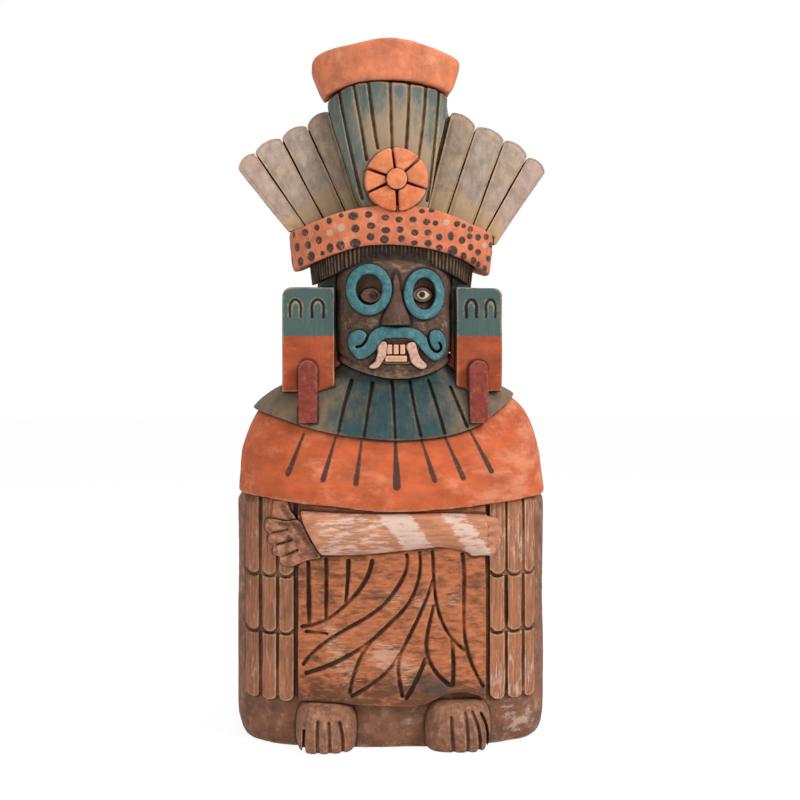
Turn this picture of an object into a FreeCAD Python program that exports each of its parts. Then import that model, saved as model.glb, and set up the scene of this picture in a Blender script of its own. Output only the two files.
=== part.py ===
import FreeCAD, Part
import math
import os

from FreeCAD import Vector

# Hollow ceramic figure of a rain god. It faces -Y and stands on Z = 0.
# Sizes are in millimetres. A name with share or shares holds fractions of the sizes named beside it.

overrun = 20.0                  # how far every cutting shape runs past what it cuts

# Body: a hollow pot, open underneath
body_half_width = 92.0
body_front = 47.0               # how far the front stands ahead of the head's axis
body_back = 62.5
seat_height = 205.0             # flat top that carries the neck
body_wall = 9.0
vent_radius = 7.0               # joins the hollows, so that the clay can be fired

# Robe and wings, slabs on the body's front
robe_half_width = 54.5
robe_offset = 2.2               # the robe lies this far towards -X
robe_thickness = 8.0
robe_groove = 2.3
robe_groove_depth = 2.8
hem_height = 25.5
wing_thickness = 4.0
wing_groove = 2.1
wing_groove_depth = 2.8

# Mantle: the cape, and the collar laid on it
mantle_half_width = 91.8
mantle_front = 60.0
mantle_back = 65.0
cape_edge_height = 138.5
collar_edge_height = 179.3
collar_thickness = 2.5
collar_groove = 1.9
collar_groove_depth = 1.8

# Arms and hands
arm_depth = 8.0                 # half of the forearm's thickness
arm_half_height = 12.0
arm_height = 125.5              # middle of the forearm
arm_reach = 66.0
wrist_place = 39.0
finger_radius = 3.3
finger_groove = 1.5
finger_groove_depth = 2.4
hand_thickness = 10.0
cuff_thickness = 8.0

# Feet
left_foot_half_width = 17.8
right_foot_half_width = 19.5
foot_height = 28.0
foot_front = 65.0
toe_groove = 1.8
toe_groove_depth = 3.0
left_foot_place = 40.2
right_foot_place = 36.2

# Head
head_half_width = 34.8
head_front = 48.5
head_back = 33.0
head_height = 104.0             # from the seat to just above the crown
head_hollow_half_width = 19.5
head_hollow_half_depth = 20.0
head_hollow_height = 66.0
head_hollow_floor = 24.0        # above the seat
neck_radius = 27.0
jaw_groove = 1.6
jaw_groove_depth = 1.4
jaw_rim = 4.2

# Goggles and eyes
left_goggle_half_width = 13.3
right_goggle_half_width = 12.2
goggle_half_height = 14.9
goggle_band = 5.6
goggle_thickness = 4.5
socket_depth = 3.6
socket_inset = 0.6
eyelid_half_width = 6.2
eyelid_half_height = 4.2
eyelid_band = 1.3
eyelid_sink = 1.0               # how far the lids lie behind the face
eye_ball_radius = 6.5
eye_ball_sink = 1.7

# Nose, lip and teeth
nose_front = 60.0
nose_root = 36.0
nose_half_width = 9.0
lip_thickness = 5.2
lip_slit = 1.5                  # curved cut that parts each knob from the lip
gum_thickness = 1.4
tooth_thickness = 3.6
tooth_half_width = 1.45
tooth_gap = 0.9
tooth_height = 5.6
tooth_top = 29.6                # above the seat
lower_tooth_half_width = 6.3
lower_tooth_height = 3.5
fang_thickness = 4.6

# Hair and headband
hair_half_width = 56.0
hair_front = 50.2
hair_back = 46.5
hair_step = 1.6                 # how far the pad stays below the band's top
band_half_width = 66.0
band_front = 54.0
band_back = 51.0
band_base = 87.2                # above the seat
band_height = 23.8
hair_taper_share = 0.8           # how much narrower the pad and the band are below
band_taper_share = 0.84

# Fan, crest and cap
fan_half_width = 93.4
headdress_height = 96.6         # from the band's top to the cap's top
fan_back = 9.0                  # behind the head's axis
back_slab_thickness = 8.0
feather_thickness = 12.0
feather_gap = 0.9
feather_bow = 2.6
crest_radius = 42.4
crest_front = 47.0
crest_groove = 1.9
crest_groove_depth = 2.2
cap_radius = 56.0
cap_front = 50.5

# Rosette
rosette_radius = 18.3
rosette_front = 57.0
rosette_height = 14.0           # its centre above the band's top
petal_groove = 1.4
button_radius = 6.0
button_front = 60.0

# Ear flares and pendants
flare_height = 61.0
flare_base = 2.0                # above the seat
flare_front = 38.0
flare_thickness = 28.0
flare_corner = 5.0
left_flare_width = 30.5
left_flare_place = 35.5         # its inner edge
right_flare_width = 26.8
right_flare_place = 36.4
flare_root_front = 26.0         # the root closes the gap between the flare and the head
flare_root_rise = 9.0
flare_root_inner = 30.0
flare_root_outer = 45.0
mark_width = 1.6
mark_depth = 1.8
pendant_half_width = 5.6
pendant_thickness = 10.0
pendant_top = 20.5              # above the seat
pendant_length = 36.5
pendant_front = 46.0
pendant_lean = 6.0              # how far its foot stands ahead of its top
left_pendant_place = 51.0
right_pendant_place = 48.7

# Plan section of the body: the power of a rounded oval
body_power = 2.6
head_power = 3.2
foot_power = 3.4
section_points = 16
strip_points = 6

# Rows of (height, plan) as shares of seat_height and of the body's plan sizes
body_shares = (
    (0.0, 0.95), (0.008, 0.965), (0.022, 0.981), (0.048, 0.994), (0.09, 1.0), (0.688, 1.0),
    (0.717, 0.962), (0.78, 0.95), (0.84, 0.925), (0.9, 0.875), (0.94, 0.81), (0.975, 0.71), (1.0, 0.58))

# Rows of (height, half-width, front, back) as shares of seat_height and of the mantle's sizes
mantle_shares = (
    (0.644, 1.0, 1.0, 1.0), (0.693, 1.0, 0.997, 1.0), (0.741, 0.995, 0.98, 0.995),
    (0.79, 0.985, 0.95, 0.98), (0.839, 0.969, 0.913, 0.962), (0.888, 0.94, 0.862, 0.925),
    (0.937, 0.89, 0.80, 0.869), (0.976, 0.815, 0.733, 0.79), (1.01, 0.69, 0.655, 0.68),
    (1.036, 0.52, 0.60, 0.57), (1.066, 0.41, 0.56, 0.5), (1.105, 0.36, 0.53, 0.46))

# Rows of (height, half-width, front, back) as shares of head_height and of the head's sizes
head_shares = (
    (0.05, 0.95, 0.93, 0.85), (0.24, 0.985, 0.975, 0.95), (0.43, 1.0, 1.0, 1.0),
    (0.625, 1.005, 0.985, 1.02), (0.82, 1.03, 0.965, 1.03), (0.965, 1.03, 0.92, 1.0))

# Rows of (height, half-width, front) as shares of foot_height and of the foot's sizes
foot_shares = (
    (0.0, 0.91, 0.94), (0.1, 0.96, 0.975), (0.4, 1.0, 1.0), (0.7, 0.97, 0.98), (0.88, 0.88, 0.93),
    (0.97, 0.76, 0.86), (1.0, 0.66, 0.78))

# Cuts between the toes: (place, height) as shares of the foot's half-width and height
left_toe_shares = (
    ((-0.716, 0.526), (-0.751, 0.254), (-0.707, -0.1)), ((-0.293, 0.717), (-0.312, 0.363), (-0.267, -0.1)),
    ((0.045, 0.688), (0.07, 0.363), (0.111, -0.1)), ((0.388, 0.688), (0.49, 0.363), (0.49, -0.1)))
right_toe_shares = (
    ((-0.253, 0.768), (-0.253, 0.494), (-0.135, -0.1)), ((0.144, 0.84), (0.206, 0.494), (0.223, -0.1)),
    ((0.341, 0.85), (0.5, 0.602), (0.556, -0.1)), ((0.608, 0.82), (0.76, 0.602), (0.79, -0.1)))

# Edges seen from the front: (place, height) as shares of the carrier's half-width and height
cape_edge_shares = (
    (-1.12, 0.042), (-0.65, 0.025), (0.0, 0.0), (0.65, 0.02), (1.12, 0.036))
collar_edge_shares = (
    (-1.2, 0.085), (-0.88, 0.078), (-0.62, 0.043), (-0.3, 0.011), (0.0, 0.0), (0.3, 0.009),
    (0.49, 0.032), (0.6, 0.06), (0.79, 0.12), (1.2, 0.14))
jaw_shares = (
    (-1.2, 0.27), (-0.8, 0.163), (-0.43, 0.115), (0.0, 0.091), (0.43, 0.106), (0.8, 0.154),
    (1.2, 0.265))
band_bottom_shares = (
    (-1.12, -0.88), (-0.77, -0.47), (-0.39, -0.1), (0.0, 0.0), (0.39, -0.15), (0.71, -0.47),
    (0.91, -0.75), (1.12, -1.06))
band_top_shares = (
    (-1.12, 0.15), (-0.91, 0.43), (-0.68, 0.63), (-0.44, 0.84), (-0.18, 0.985), (0.0, 1.0),
    (0.15, 0.99), (0.455, 0.8), (0.68, 0.55), (0.94, 0.27), (1.12, 0.07))
hair_bottom_shares = (
    (-1.06, -1.43), (-0.76, -0.97), (-0.56, -0.74), (-0.42, -0.55), (-0.21, -0.39),
    (0.06, -0.385), (0.27, -0.47), (0.44, -0.62), (0.67, -0.95), (0.95, -1.3))

# Robe: (place, height) as shares of its width and of its height from hem to cape edge
robe_hem_shares = (
    (0.0, 0.023), (0.246, 0.013), (0.5, 0.003), (0.688, 0.015), (0.766, 0.05), (0.898, 0.061),
    (1.0, 0.02))
robe_groove_shares = (
    ((0.054, 0.745), (0.057, 0.58), (0.059, 0.412)),
    ((0.148, 0.763), (0.15, 0.6), (0.148, 0.446)),
    ((0.267, 0.755), (0.262, 0.64), (0.251, 0.53)),
    ((0.392, 0.756), (0.371, 0.674), (0.251, 0.52), (0.142, 0.44), (0.012, 0.404)),
    ((0.033, 0.38), (0.1, 0.377), (0.163, 0.372)),
    ((0.573, 0.786), (0.573, 0.705), (0.521, 0.603), (0.428, 0.501), (0.324, 0.434),
     (0.184, 0.355), (0.08, 0.274), (0.023, 0.204)),
    ((0.641, 0.797), (0.631, 0.628), (0.579, 0.521), (0.464, 0.406), (0.386, 0.337),
     (0.293, 0.275), (0.153, 0.205), (0.033, 0.164)),
    ((0.386, 0.337), (0.34, 0.27), (0.293, 0.157), (0.272, 0.063)),
    ((0.714, 0.648), (0.667, 0.521), (0.563, 0.312), (0.537, 0.256), (0.532, 0.159),
     (0.553, 0.044)),
    ((0.537, 0.271), (0.464, 0.174), (0.36, 0.097), (0.277, 0.05)),
    ((0.677, 0.25), (0.638, 0.158), (0.568, 0.036)),
    ((0.711, 0.801), (0.719, 0.648), (0.735, 0.52), (0.803, 0.361), (0.898, 0.276)),
    ((0.719, 0.52), (0.688, 0.388), (0.683, 0.27), (0.74, 0.162), (0.814, 0.1)),
    ((0.814, 0.342), (0.824, 0.212), (0.819, 0.094)),
    ((0.872, 0.784), (0.88, 0.517), (0.898, 0.286), (0.941, 0.172), (0.99, 0.085)))

# Wings: column edges as shares of body_half_width, feather ends as shares of seat_height
left_wing_shares = (-0.955, -0.855, -0.745, -0.643)
right_wing_shares = (0.6, 0.711, 0.828, 0.914)
feather_end_shares = (0.483, 0.32, 0.13)
feather_lobe_share = 0.016
lobe_point_shares = (0.0, 0.25, 0.5, 0.75, 1.0)

# Collar grooves: (place, height) from top to bottom, shares of mantle_half_width and seat_height
collar_groove_shares = (
    ((-0.272, 1.045), (-0.32, 0.98), (-0.364, 0.896)),
    ((-0.14, 1.04), (-0.172, 0.97), (-0.204, 0.883)),
    ((-0.02, 1.045), (-0.012, 0.96), (-0.009, 0.878)),
    ((0.093, 1.045), (0.12, 0.96), (0.156, 0.884)),
    ((0.212, 1.045), (0.26, 0.97), (0.307, 0.89)),
    ((0.352, 1.027), (0.4, 0.97), (0.455, 0.908)))

# Forearm: (place along the arm, middle height, half-height) as shares of arm_reach,
# arm_half_height and arm_half_height
forearm_shares = (
    (-1.0, 0.0, 1.15), (-0.68, 0.0, 1.05), (-0.15, 0.02, 0.98), (0.27, 0.14, 0.84),
    (0.48, 0.13, 0.84), (0.7, -0.07, 1.0), (0.8, -0.1, 0.98))
arm_end_shares = ((-0.845, 1.4), (-0.815, 0.6), (-0.755, -0.1), (-0.66, -1.0), (-0.6, -1.4))

# Hands: (place, height) as shares of arm_reach and arm_half_height; each front finger is (tip, knuckle)
rear_hand_shares = (
    (-1.143, 0.532), (-1.155, 0.289), (-1.14, 0.023), (-1.112, -0.089), (-1.125, -0.317),
    (-1.107, -0.564), (-1.072, -0.651), (-1.081, -0.874), (-1.06, -1.117), (-1.023, -1.184),
    (-1.018, -1.398), (-0.975, -1.592), (-0.918, -1.626), (-0.843, -1.446), (-0.737, -1.243),
    (-0.667, -1.165), (-0.72, -0.632), (-0.79, 0.023), (-0.87, 0.63), (-0.949, 0.557), (-1.036, 0.605),
    (-1.098, 0.63))
rear_finger_shares = (
    ((-1.18, -0.14), (-1.055, -0.002), (-0.94, 0.168)),
    ((-1.145, -0.72), (-1.019, -0.559), (-0.905, -0.317)),
    ((-1.09, -1.31), (-0.966, -1.092), (-0.852, -0.777)))
rear_cuff_shares = (
    (-1.072, 1.55), (-1.09, 0.63), (-1.036, 0.605), (-0.949, 0.557), (-0.87, 0.63), (-0.93, 1.05),
    (-0.958, 1.55))
front_finger_shares = (
    ((0.87, 0.44), (0.73, 0.56)), ((0.895, 0.04), (0.74, 0.08)),
    ((0.88, -0.42), (0.72, -0.42)), ((0.835, -0.88), (0.68, -0.9)))

# Face: (place, height) as shares of head_half_width and head_height
left_goggle_shares = (-0.448, 0.591)
right_goggle_shares = (0.474, 0.567)
left_eye_shares = (-0.414, 0.558)
right_eye_shares = (0.452, 0.562)
nose_shares = (
    (0.7, 0.36, 0.8), (0.611, 0.4, 0.86), (0.52, 0.56, 0.925), (0.44, 0.88, 0.985),
    (0.392, 1.0, 1.0))
lip_shares = (
    (0.02, 0.379), (0.154, 0.38), (0.28, 0.374), (0.392, 0.359), (0.473, 0.335), (0.533, 0.321),
    (0.577, 0.351), (0.692, 0.365), (0.785, 0.349), (0.84, 0.309), (0.846, 0.269), (0.815, 0.234),
    (0.748, 0.207), (0.659, 0.194), (0.57, 0.208), (0.488, 0.232), (0.421, 0.259), (0.347, 0.289),
    (0.265, 0.312), (0.154, 0.321), (0.02, 0.321), (-0.114, 0.321), (-0.21, 0.313), (-0.277, 0.29),
    (-0.336, 0.259), (-0.411, 0.232), (-0.507, 0.211), (-0.611, 0.202), (-0.708, 0.227),
    (-0.779, 0.269), (-0.794, 0.309), (-0.752, 0.345), (-0.671, 0.362), (-0.581, 0.364),
    (-0.515, 0.351), (-0.473, 0.336), (-0.396, 0.357), (-0.292, 0.377), (-0.173, 0.385),
    (-0.069, 0.38))
lip_slit_shares = (
    ((-0.455, 0.352), (-0.507, 0.304), (-0.574, 0.278), (-0.685, 0.273)),
    ((0.525, 0.345), (0.562, 0.284), (0.622, 0.254), (0.692, 0.243), (0.753, 0.259), (0.748, 0.284),
     (0.701, 0.295)))
gum_shares = (
    (-0.349, 0.321), (0.381, 0.321), (0.395, 0.264), (0.321, 0.199), (0.217, 0.177), (-0.17, 0.177),
    (-0.289, 0.199), (-0.326, 0.254))
left_fang_shares = (
    (-0.293, 0.294), (-0.166, 0.294), (-0.157, 0.254), (-0.175, 0.219), (-0.231, 0.189),
    (-0.335, 0.152), (-0.451, 0.158), (-0.35, 0.189), (-0.32, 0.219), (-0.305, 0.254))
right_fang_shares = (
    (0.218, 0.294), (0.312, 0.294), (0.349, 0.259), (0.386, 0.224), (0.438, 0.197), (0.515, 0.164),
    (0.468, 0.15), (0.334, 0.162), (0.245, 0.194), (0.215, 0.234))

# Headdress: (place, height) as shares of fan_half_width and headdress_height
left_feather_shares = (
    ((-0.205, 0.0), (-0.407, 0.603)), ((-0.306, -0.011), (-0.551, 0.511)),
    ((-0.45, -0.054), (-0.714, 0.434)), ((-0.578, -0.083), (-0.885, 0.345)),
    ((-0.67, -0.144), (-0.992, 0.237)))
right_feather_shares = (
    ((0.225, 0.0), (0.38, 0.603)), ((0.359, -0.022), (0.541, 0.511)),
    ((0.528, -0.083), (0.726, 0.431)), ((0.62, -0.113), (0.876, 0.326)),
    ((0.717, -0.166), (0.992, 0.226)))
feather_root_share = 0.16
back_slab_shares = (
    (-0.59, -0.215), (-0.965, 0.231), (-0.87, 0.334), (-0.7, 0.425), (-0.54, 0.506), (-0.41, 0.592),
    (-0.38, 0.8), (0.34, 0.8), (0.375, 0.592), (0.53, 0.506), (0.71, 0.425), (0.86, 0.323),
    (0.965, 0.221), (0.63, -0.226))
crest_top_shares = (
    (-0.415, 0.65), (-0.302, 0.715), (-0.204, 0.738), (-0.044, 0.737), (0.156, 0.719), (0.271, 0.697),
    (0.335, 0.66))
crest_right_shares = ((0.335, 0.66), (0.304, 0.46), (0.27, 0.324), (0.23, 0.097), (0.195, -0.06))
crest_left_shares = (
    (-0.178, -0.06), (-0.214, 0.006), (-0.254, 0.099), (-0.312, 0.291), (-0.355, 0.417), (-0.415, 0.65))
crest_groove_shares = (
    ((-0.349, 0.72), (-0.276, 0.336), (-0.202, 0.03)), ((-0.263, 0.76), (-0.214, 0.484), (-0.177, 0.264)),
    ((-0.171, 0.78), (-0.141, 0.522), (-0.11, 0.329)), ((-0.036, 0.78), (-0.029, 0.532), (-0.023, 0.327)),
    ((0.083, 0.78), (0.077, 0.521), (0.064, 0.328)), ((0.191, 0.76), (0.172, 0.487), (0.14, 0.275)),
    ((0.277, 0.72), (0.244, 0.352), (0.198, 0.018)))
cap_left_shares = ((-0.438, 0.665), (-0.481, 0.757), (-0.519, 0.855))
cap_top_shares = (
    (-0.519, 0.855), (-0.494, 0.915), (-0.438, 0.946), (-0.259, 0.976), (-0.081, 1.0), (0.087, 0.986),
    (0.22, 0.958), (0.35, 0.916), (0.405, 0.883), (0.411, 0.85))
cap_right_shares = ((0.411, 0.85), (0.398, 0.79), (0.35, 0.68))
cap_bottom_shares = (
    (0.35, 0.68), (0.271, 0.71), (0.156, 0.731), (-0.044, 0.749), (-0.204, 0.75), (-0.302, 0.731),
    (-0.438, 0.665))
petal_groove_angles = (98.0, 42.0, -18.0, -88.0, -155.0, -200.0)

# Two arch marks: (place from the outer edge, height) as shares of the flare
flare_mark_shares = (
    ((0.147, 0.7), (0.147, 0.79), (0.175, 0.855), (0.253, 0.882), (0.332, 0.855), (0.36, 0.79),
     (0.36, 0.7)),
    ((0.565, 0.7), (0.565, 0.79), (0.593, 0.855), (0.68, 0.882), (0.767, 0.855), (0.795, 0.79),
     (0.795, 0.7)))


# Places
head_base = seat_height
band_bottom = seat_height + band_base
band_top = band_bottom + band_height
back_slab_front = fan_back - back_slab_thickness
robe_left = -robe_half_width - robe_offset
robe_width = 2 * robe_half_width


def body_spot(place, height):
    return Vector(place * body_half_width, 0, height * seat_height)


def mantle_spot(place, height):
    return Vector(place * mantle_half_width, 0, height * seat_height)


def robe_spot(place, height):
    return Vector(robe_left + place * robe_width, 0, hem_height + height * (cape_edge_height - hem_height))


def arm_spot(place, height):
    return Vector(place * arm_reach, 0, arm_height + height * arm_half_height)


def face_spot(place, height):
    return Vector(place * head_half_width, 0, head_base + height * head_height)


def band_spot(place, height):
    return Vector(place * band_half_width, 0, band_bottom + height * band_height)


def fan_spot(place, height):
    return Vector(place * fan_half_width, 0, band_top + height * headdress_height)


def spots(place_on, shares):
    return [place_on(place, height) for place, height in shares]


# Curves and faces seen from the front, in the plane Y = 0
def curve(points):
    if len(points) == 2:
        return Part.LineSegment(points[0], points[1]).toShape()
    spline = Part.BSplineCurve()
    spline.interpolate(points)
    return spline.toShape()


def closed_curve(points):
    spline = Part.BSplineCurve()
    spline.interpolate(Points=points, PeriodicFlag=True)
    return Part.Wire([spline.toShape()])


def outline(*runs):
    edges = [curve(run) for run in runs]
    return Part.Face(Part.Wire(edges))


def polygon(points):
    return Part.Face(Part.makePolygon(list(points) + [points[0]]))


def blob(points):
    return Part.Face(closed_curve(points))


def ellipse_face(centre, half_width, half_height):
    turns = [2 * math.pi * index / section_points for index in range(section_points)]
    return blob([centre + Vector(half_width * math.cos(turn), 0, half_height * math.sin(turn))
                 for turn in turns])


def region(points, level):
    """Everything between a curve and a level line above or below it."""
    first, last = points[0], points[-1]
    right, left = Vector(last.x, 0, level), Vector(first.x, 0, level)
    return outline(points, (last, right), (right, left), (left, first))


def strip(points, width):
    """A band of one width along a curve."""
    line = curve(points)
    low, high = line.ParameterRange
    left, right = [], []
    for index in range(strip_points * (len(points) - 1)):
        share = index / (strip_points * (len(points) - 1) - 1)
        here = line.valueAt(low + share * (high - low))
        along = line.tangentAt(low + share * (high - low))
        across = Vector(-along.z, 0, along.x) * (width / 2)
        left.append(here + across)
        right.append(here - across)
    right.reverse()
    return outline(left, (left[-1], right[0]), right, (right[-1], left[0]))


def slab(face, front, back):
    """A face seen from the front, given depth from front to back."""
    moved = face.copy()
    moved.translate(Vector(0, front, 0))
    return moved.extrude(Vector(0, back - front, 0))


def slabs(faces, front, back):
    return Part.makeCompound([slab(face, front, back) for face in faces.Faces])


# Closed forms
def oval(height, half_width, front, back, power, place=0.0):
    """A rounded oval in plan, from front (-Y) to back."""
    half_depth, middle = (front + back) / 2, (back - front) / 2
    points = []
    for index in range(section_points):
        turn = 2 * math.pi * (index + 0.5) / section_points
        cosine, sine = math.cos(turn), math.sin(turn)
        across = math.copysign(abs(cosine) ** (2 / power), cosine)
        ahead = math.copysign(abs(sine) ** (2 / power), sine)
        points.append(Vector(place + half_width * across, middle + half_depth * ahead, height))
    return closed_curve(points)


def oval_front(place, half_width, front, back, power):
    """How far ahead an oval's surface lies at a place across it."""
    share = min(abs(place) / half_width, 1.0)
    return (front + back) / 2 * (1 - share ** power) ** (1 / power) - (back - front) / 2


def body_form(forward=0.0, inset=0.0):
    """The body's outside, with its front moved forward or all of it drawn in."""
    ring = []
    for height, plan in body_shares:
        ring.append(oval(height * (seat_height - inset), plan * (body_half_width - inset),
                         plan * (body_front - inset) + forward, plan * (body_back - inset), body_power))
    return Part.makeLoft(ring, True, True)


def mantle_form(swell=0.0):
    """The cape's outside, swollen for what lies on it."""
    ring = [oval(height * seat_height + swell, width * mantle_half_width + swell,
                 front * mantle_front + swell, back * mantle_back + swell, body_power)
            for height, width, front, back in mantle_shares]
    return Part.makeLoft(ring, True, False)


def head_form(swell=0.0):
    """The head's outside, swollen for what lies on it or shrunk for what is cut in."""
    ring = [oval(head_base + height * head_height, width * head_half_width + swell,
                 front * head_front + swell, back * head_back + swell, head_power)
            for height, width, front, back in head_shares]
    return Part.makeLoft(ring, True, False)


def largest(shape):
    return max(shape.Solids, key=lambda solid: solid.Volume)


def without(shape, carriers):
    """A shape seated on its carriers, each of which is cut from it in turn."""
    for carrier in carriers:
        if shape.BoundBox.intersect(carrier.BoundBox):
            shape = shape.cut(carrier)
    return shape


def seated(shape, carriers):
    return largest(without(shape, carriers))


def relief(faces, reach, outer, carriers):
    """A slab on the front, cut to an outer form and seated on what carries it."""
    return seated(slabs(faces, -reach, 0.0).common(outer), carriers)


def grooved(face, grooves, reach, outer, floor, carriers):
    """A relief slab with grooves down to a floor form."""
    top = slabs(face.cut(grooves), -reach, 0.0).common(outer)
    bed = slab(face, -reach, 0.0).common(floor)
    return seated(top.fuse(bed), carriers)


def capsule(tip, root, radius):
    along = root - tip
    rod = Part.makeCylinder(radius, along.Length, tip, along)
    return rod.fuse([Part.makeSphere(radius, tip), Part.makeSphere(radius, root)])


def save(name, *solids):
    shape = solids[0] if len(solids) == 1 else Part.makeCompound(list(solids))
    shape.exportStep(os.path.join("parts", name + ".step"))


# Body
def make_body_shell(outside):
    hollow = body_form(inset=body_wall)
    mouth = oval(0.0, body_half_width - body_wall, body_front - body_wall, body_back - body_wall, body_power)
    throat = Part.Face(mouth).extrude(Vector(0, 0, -overrun))
    vent = Part.makeCylinder(vent_radius, body_wall + overrun, Vector(0, 0, seat_height - body_wall))
    return largest(outside.cut([hollow, throat, vent]))


def above_cape_edge():
    edge = [Vector(place * mantle_half_width, 0, cape_edge_height + height * seat_height)
            for place, height in cape_edge_shares]
    return region(edge, seat_height + head_height)


def make_robe(outside):
    """The robe, and the same slab without its pleats for what lies on it."""
    hem = spots(robe_spot, robe_hem_shares)
    top_left, top_right = Vector(hem[0].x, 0, seat_height), Vector(hem[-1].x, 0, seat_height)
    face = outline(hem, (hem[-1], top_right), (top_right, top_left), (top_left, hem[0]))
    face = face.cut(above_cape_edge()).Faces[0]
    grooves = [strip(spots(robe_spot, shares), robe_groove) for shares in robe_groove_shares]
    reach = body_front + robe_thickness + overrun
    outer = body_form(forward=robe_thickness)
    floor = body_form(forward=robe_thickness - robe_groove_depth)
    return grooved(face, grooves, reach, outer, floor, [outside]), slab(face, -reach, 0.0).common(outer)


def lobes(edges, height, rise):
    """A row of round feather ends, one for each pair of column edges."""
    arcs = []
    for start, end in zip(edges[:-1], edges[1:]):
        middle = Vector((start + end) / 2, 0, height)
        arcs.append(Part.Arc(Vector(start, 0, height + rise), middle, Vector(end, 0, height + rise)))
    return arcs


def make_wing(column_shares, outer, floor, outside):
    edges = [share * body_half_width for share in column_shares]
    rise = feather_lobe_share * seat_height
    top = seat_height
    ends = [share * seat_height for share in feather_end_shares]
    bottom = [arc.toShape() for arc in lobes(edges, ends[-1], rise)]
    corners = [Vector(edges[-1], 0, ends[-1] + rise), Vector(edges[-1], 0, top),
               Vector(edges[0], 0, top), Vector(edges[0], 0, ends[-1] + rise)]
    sides = [curve(pair) for pair in zip(corners[:-1], corners[1:])]
    face = Part.Face(Part.Wire(Part.sortEdges(bottom + sides)[0])).cut(above_cape_edge()).Faces[0]
    grooves = [strip((Vector(edge, 0, ends[-1]), Vector(edge, 0, top)), wing_groove)
               for edge in edges[1:-1]]
    for height in ends[:-1]:
        for arc in lobes(edges, height, rise):
            low, high = arc.FirstParameter, arc.LastParameter
            points = [arc.value(low + share * (high - low)) for share in lobe_point_shares]
            grooves.append(strip(points, wing_groove))
    reach = body_front + wing_thickness + overrun
    return grooved(face, grooves, reach, outer, floor, [outside])


def make_cape(mantle, carriers):
    above = slab(above_cape_edge(), -mantle_front - overrun, mantle_back + overrun)
    return seated(mantle.common(above), carriers)


def make_collar(outer, floor, carriers):
    edge = [Vector(place * mantle_half_width, 0, collar_edge_height + height * seat_height)
            for place, height in collar_edge_shares]
    face = region(edge, seat_height + head_height)
    grooves = [strip(spots(mantle_spot, shares), collar_groove) for shares in collar_groove_shares]
    reach = mantle_front + collar_thickness + overrun
    top = slabs(face.cut(grooves), -reach, 0.0).common(outer)
    bed = slab(face, -reach, 0.0).common(floor)
    rear = slab(face, 0.0, mantle_back + collar_thickness + overrun).common(outer)
    return seated(top.fuse(bed).fuse(rear), carriers)


# Arms and hands
def robe_surface(place):
    return oval_front(place, body_half_width, body_front + robe_thickness, body_back, body_power)


def arm_section(place, height, half_height):
    centre = Vector(place, -robe_surface(place), height)
    turns = [2 * math.pi * index / section_points for index in range(section_points)]
    return closed_curve([centre + Vector(0, arm_depth * math.cos(turn), half_height * math.sin(turn))
                         for turn in turns])


def make_arm(carriers):
    sections = [arm_section(place * arm_reach, arm_height + height * arm_half_height, half * arm_half_height)
                for place, height, half in forearm_shares]
    whole = Part.makeLoft(sections, True, False)
    beyond_wrist = Part.makeBox(arm_reach, mantle_front + overrun, seat_height,
                                Vector(wrist_place, -mantle_front - overrun, 0))
    end = region(spots(arm_spot, arm_end_shares), arm_height - 3 * arm_half_height)
    end = slab(end, -mantle_front - overrun, 0.0)
    return seated(whole, [beyond_wrist, end] + carriers), largest(whole.common(beyond_wrist))


def finger(shares):
    ends = []
    for place, height in shares:
        spot = arm_spot(place, height)
        surface = oval_front(spot.x, body_half_width, body_front + wing_thickness, body_back, body_power)
        ends.append(Vector(spot.x, -surface - finger_radius, spot.z))
    return capsule(ends[0], ends[1], finger_radius)


def make_front_hand(palm, carriers):
    fingers = [finger(shares) for shares in front_finger_shares]
    return seated(palm.fuse(fingers), carriers)


def make_rear_hand(carriers):
    outer = body_form(forward=hand_thickness)
    floor = body_form(forward=hand_thickness - finger_groove_depth)
    grooves = [strip(spots(arm_spot, shares), finger_groove) for shares in rear_finger_shares]
    reach = body_front + hand_thickness + overrun
    return grooved(blob(spots(arm_spot, rear_hand_shares)), grooves, reach, outer, floor, carriers)


def make_rear_cuff(carriers):
    outer = body_form(forward=cuff_thickness)
    patch = slab(polygon(spots(arm_spot, rear_cuff_shares)), -body_front - cuff_thickness - overrun, 0.0)
    return seated(patch.common(outer), carriers)


# Feet
def foot_form(place, half_width, inset=0.0):
    ring = [oval(height * foot_height, width * half_width - inset, front * foot_front - inset, 0.0,
                 foot_power, place) for height, width, front in foot_shares]
    return Part.makeLoft(ring, True, False)


def make_foot(place, half_width, toe_shares, carriers):
    """A rounded block with a cut between each two toes."""
    core = foot_form(place, half_width, toe_groove_depth)
    cuts = []
    for shares in toe_shares:
        line = [Vector(place + across * half_width, 0, height * foot_height) for across, height in shares]
        cuts.append(slab(strip(line, toe_groove), -foot_front - overrun, 0.0).cut(core))
    return seated(foot_form(place, half_width), cuts + carriers)


# Head
def head_block(outside):
    """The head before it is carved and hollowed."""
    jaw = spots(face_spot, jaw_shares)
    above = slab(region(jaw, head_base + 2 * head_height), -head_front - overrun, head_back + overrun)
    return outside.common(above)


def make_head(block):
    corner = Vector(-head_hollow_half_width, -head_hollow_half_depth, head_base + head_hollow_floor)
    hollow = Part.makeBox(-2 * corner.x, -2 * corner.y, head_hollow_height, corner)
    vent = Part.makeCylinder(vent_radius, head_hollow_floor + overrun, Vector(0, 0, head_base))
    sockets = [socket(left_goggle_shares, left_goggle_half_width),
               socket(right_goggle_shares, right_goggle_half_width)]
    raised = [point + Vector(0, 0, jaw_rim) for point in spots(face_spot, jaw_shares)]
    line = slab(strip(raised, jaw_groove), -head_front - overrun, 0.0)
    line = line.cut(head_form(-jaw_groove_depth))
    return seated(block, [hollow, vent, line] + sockets)


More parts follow.
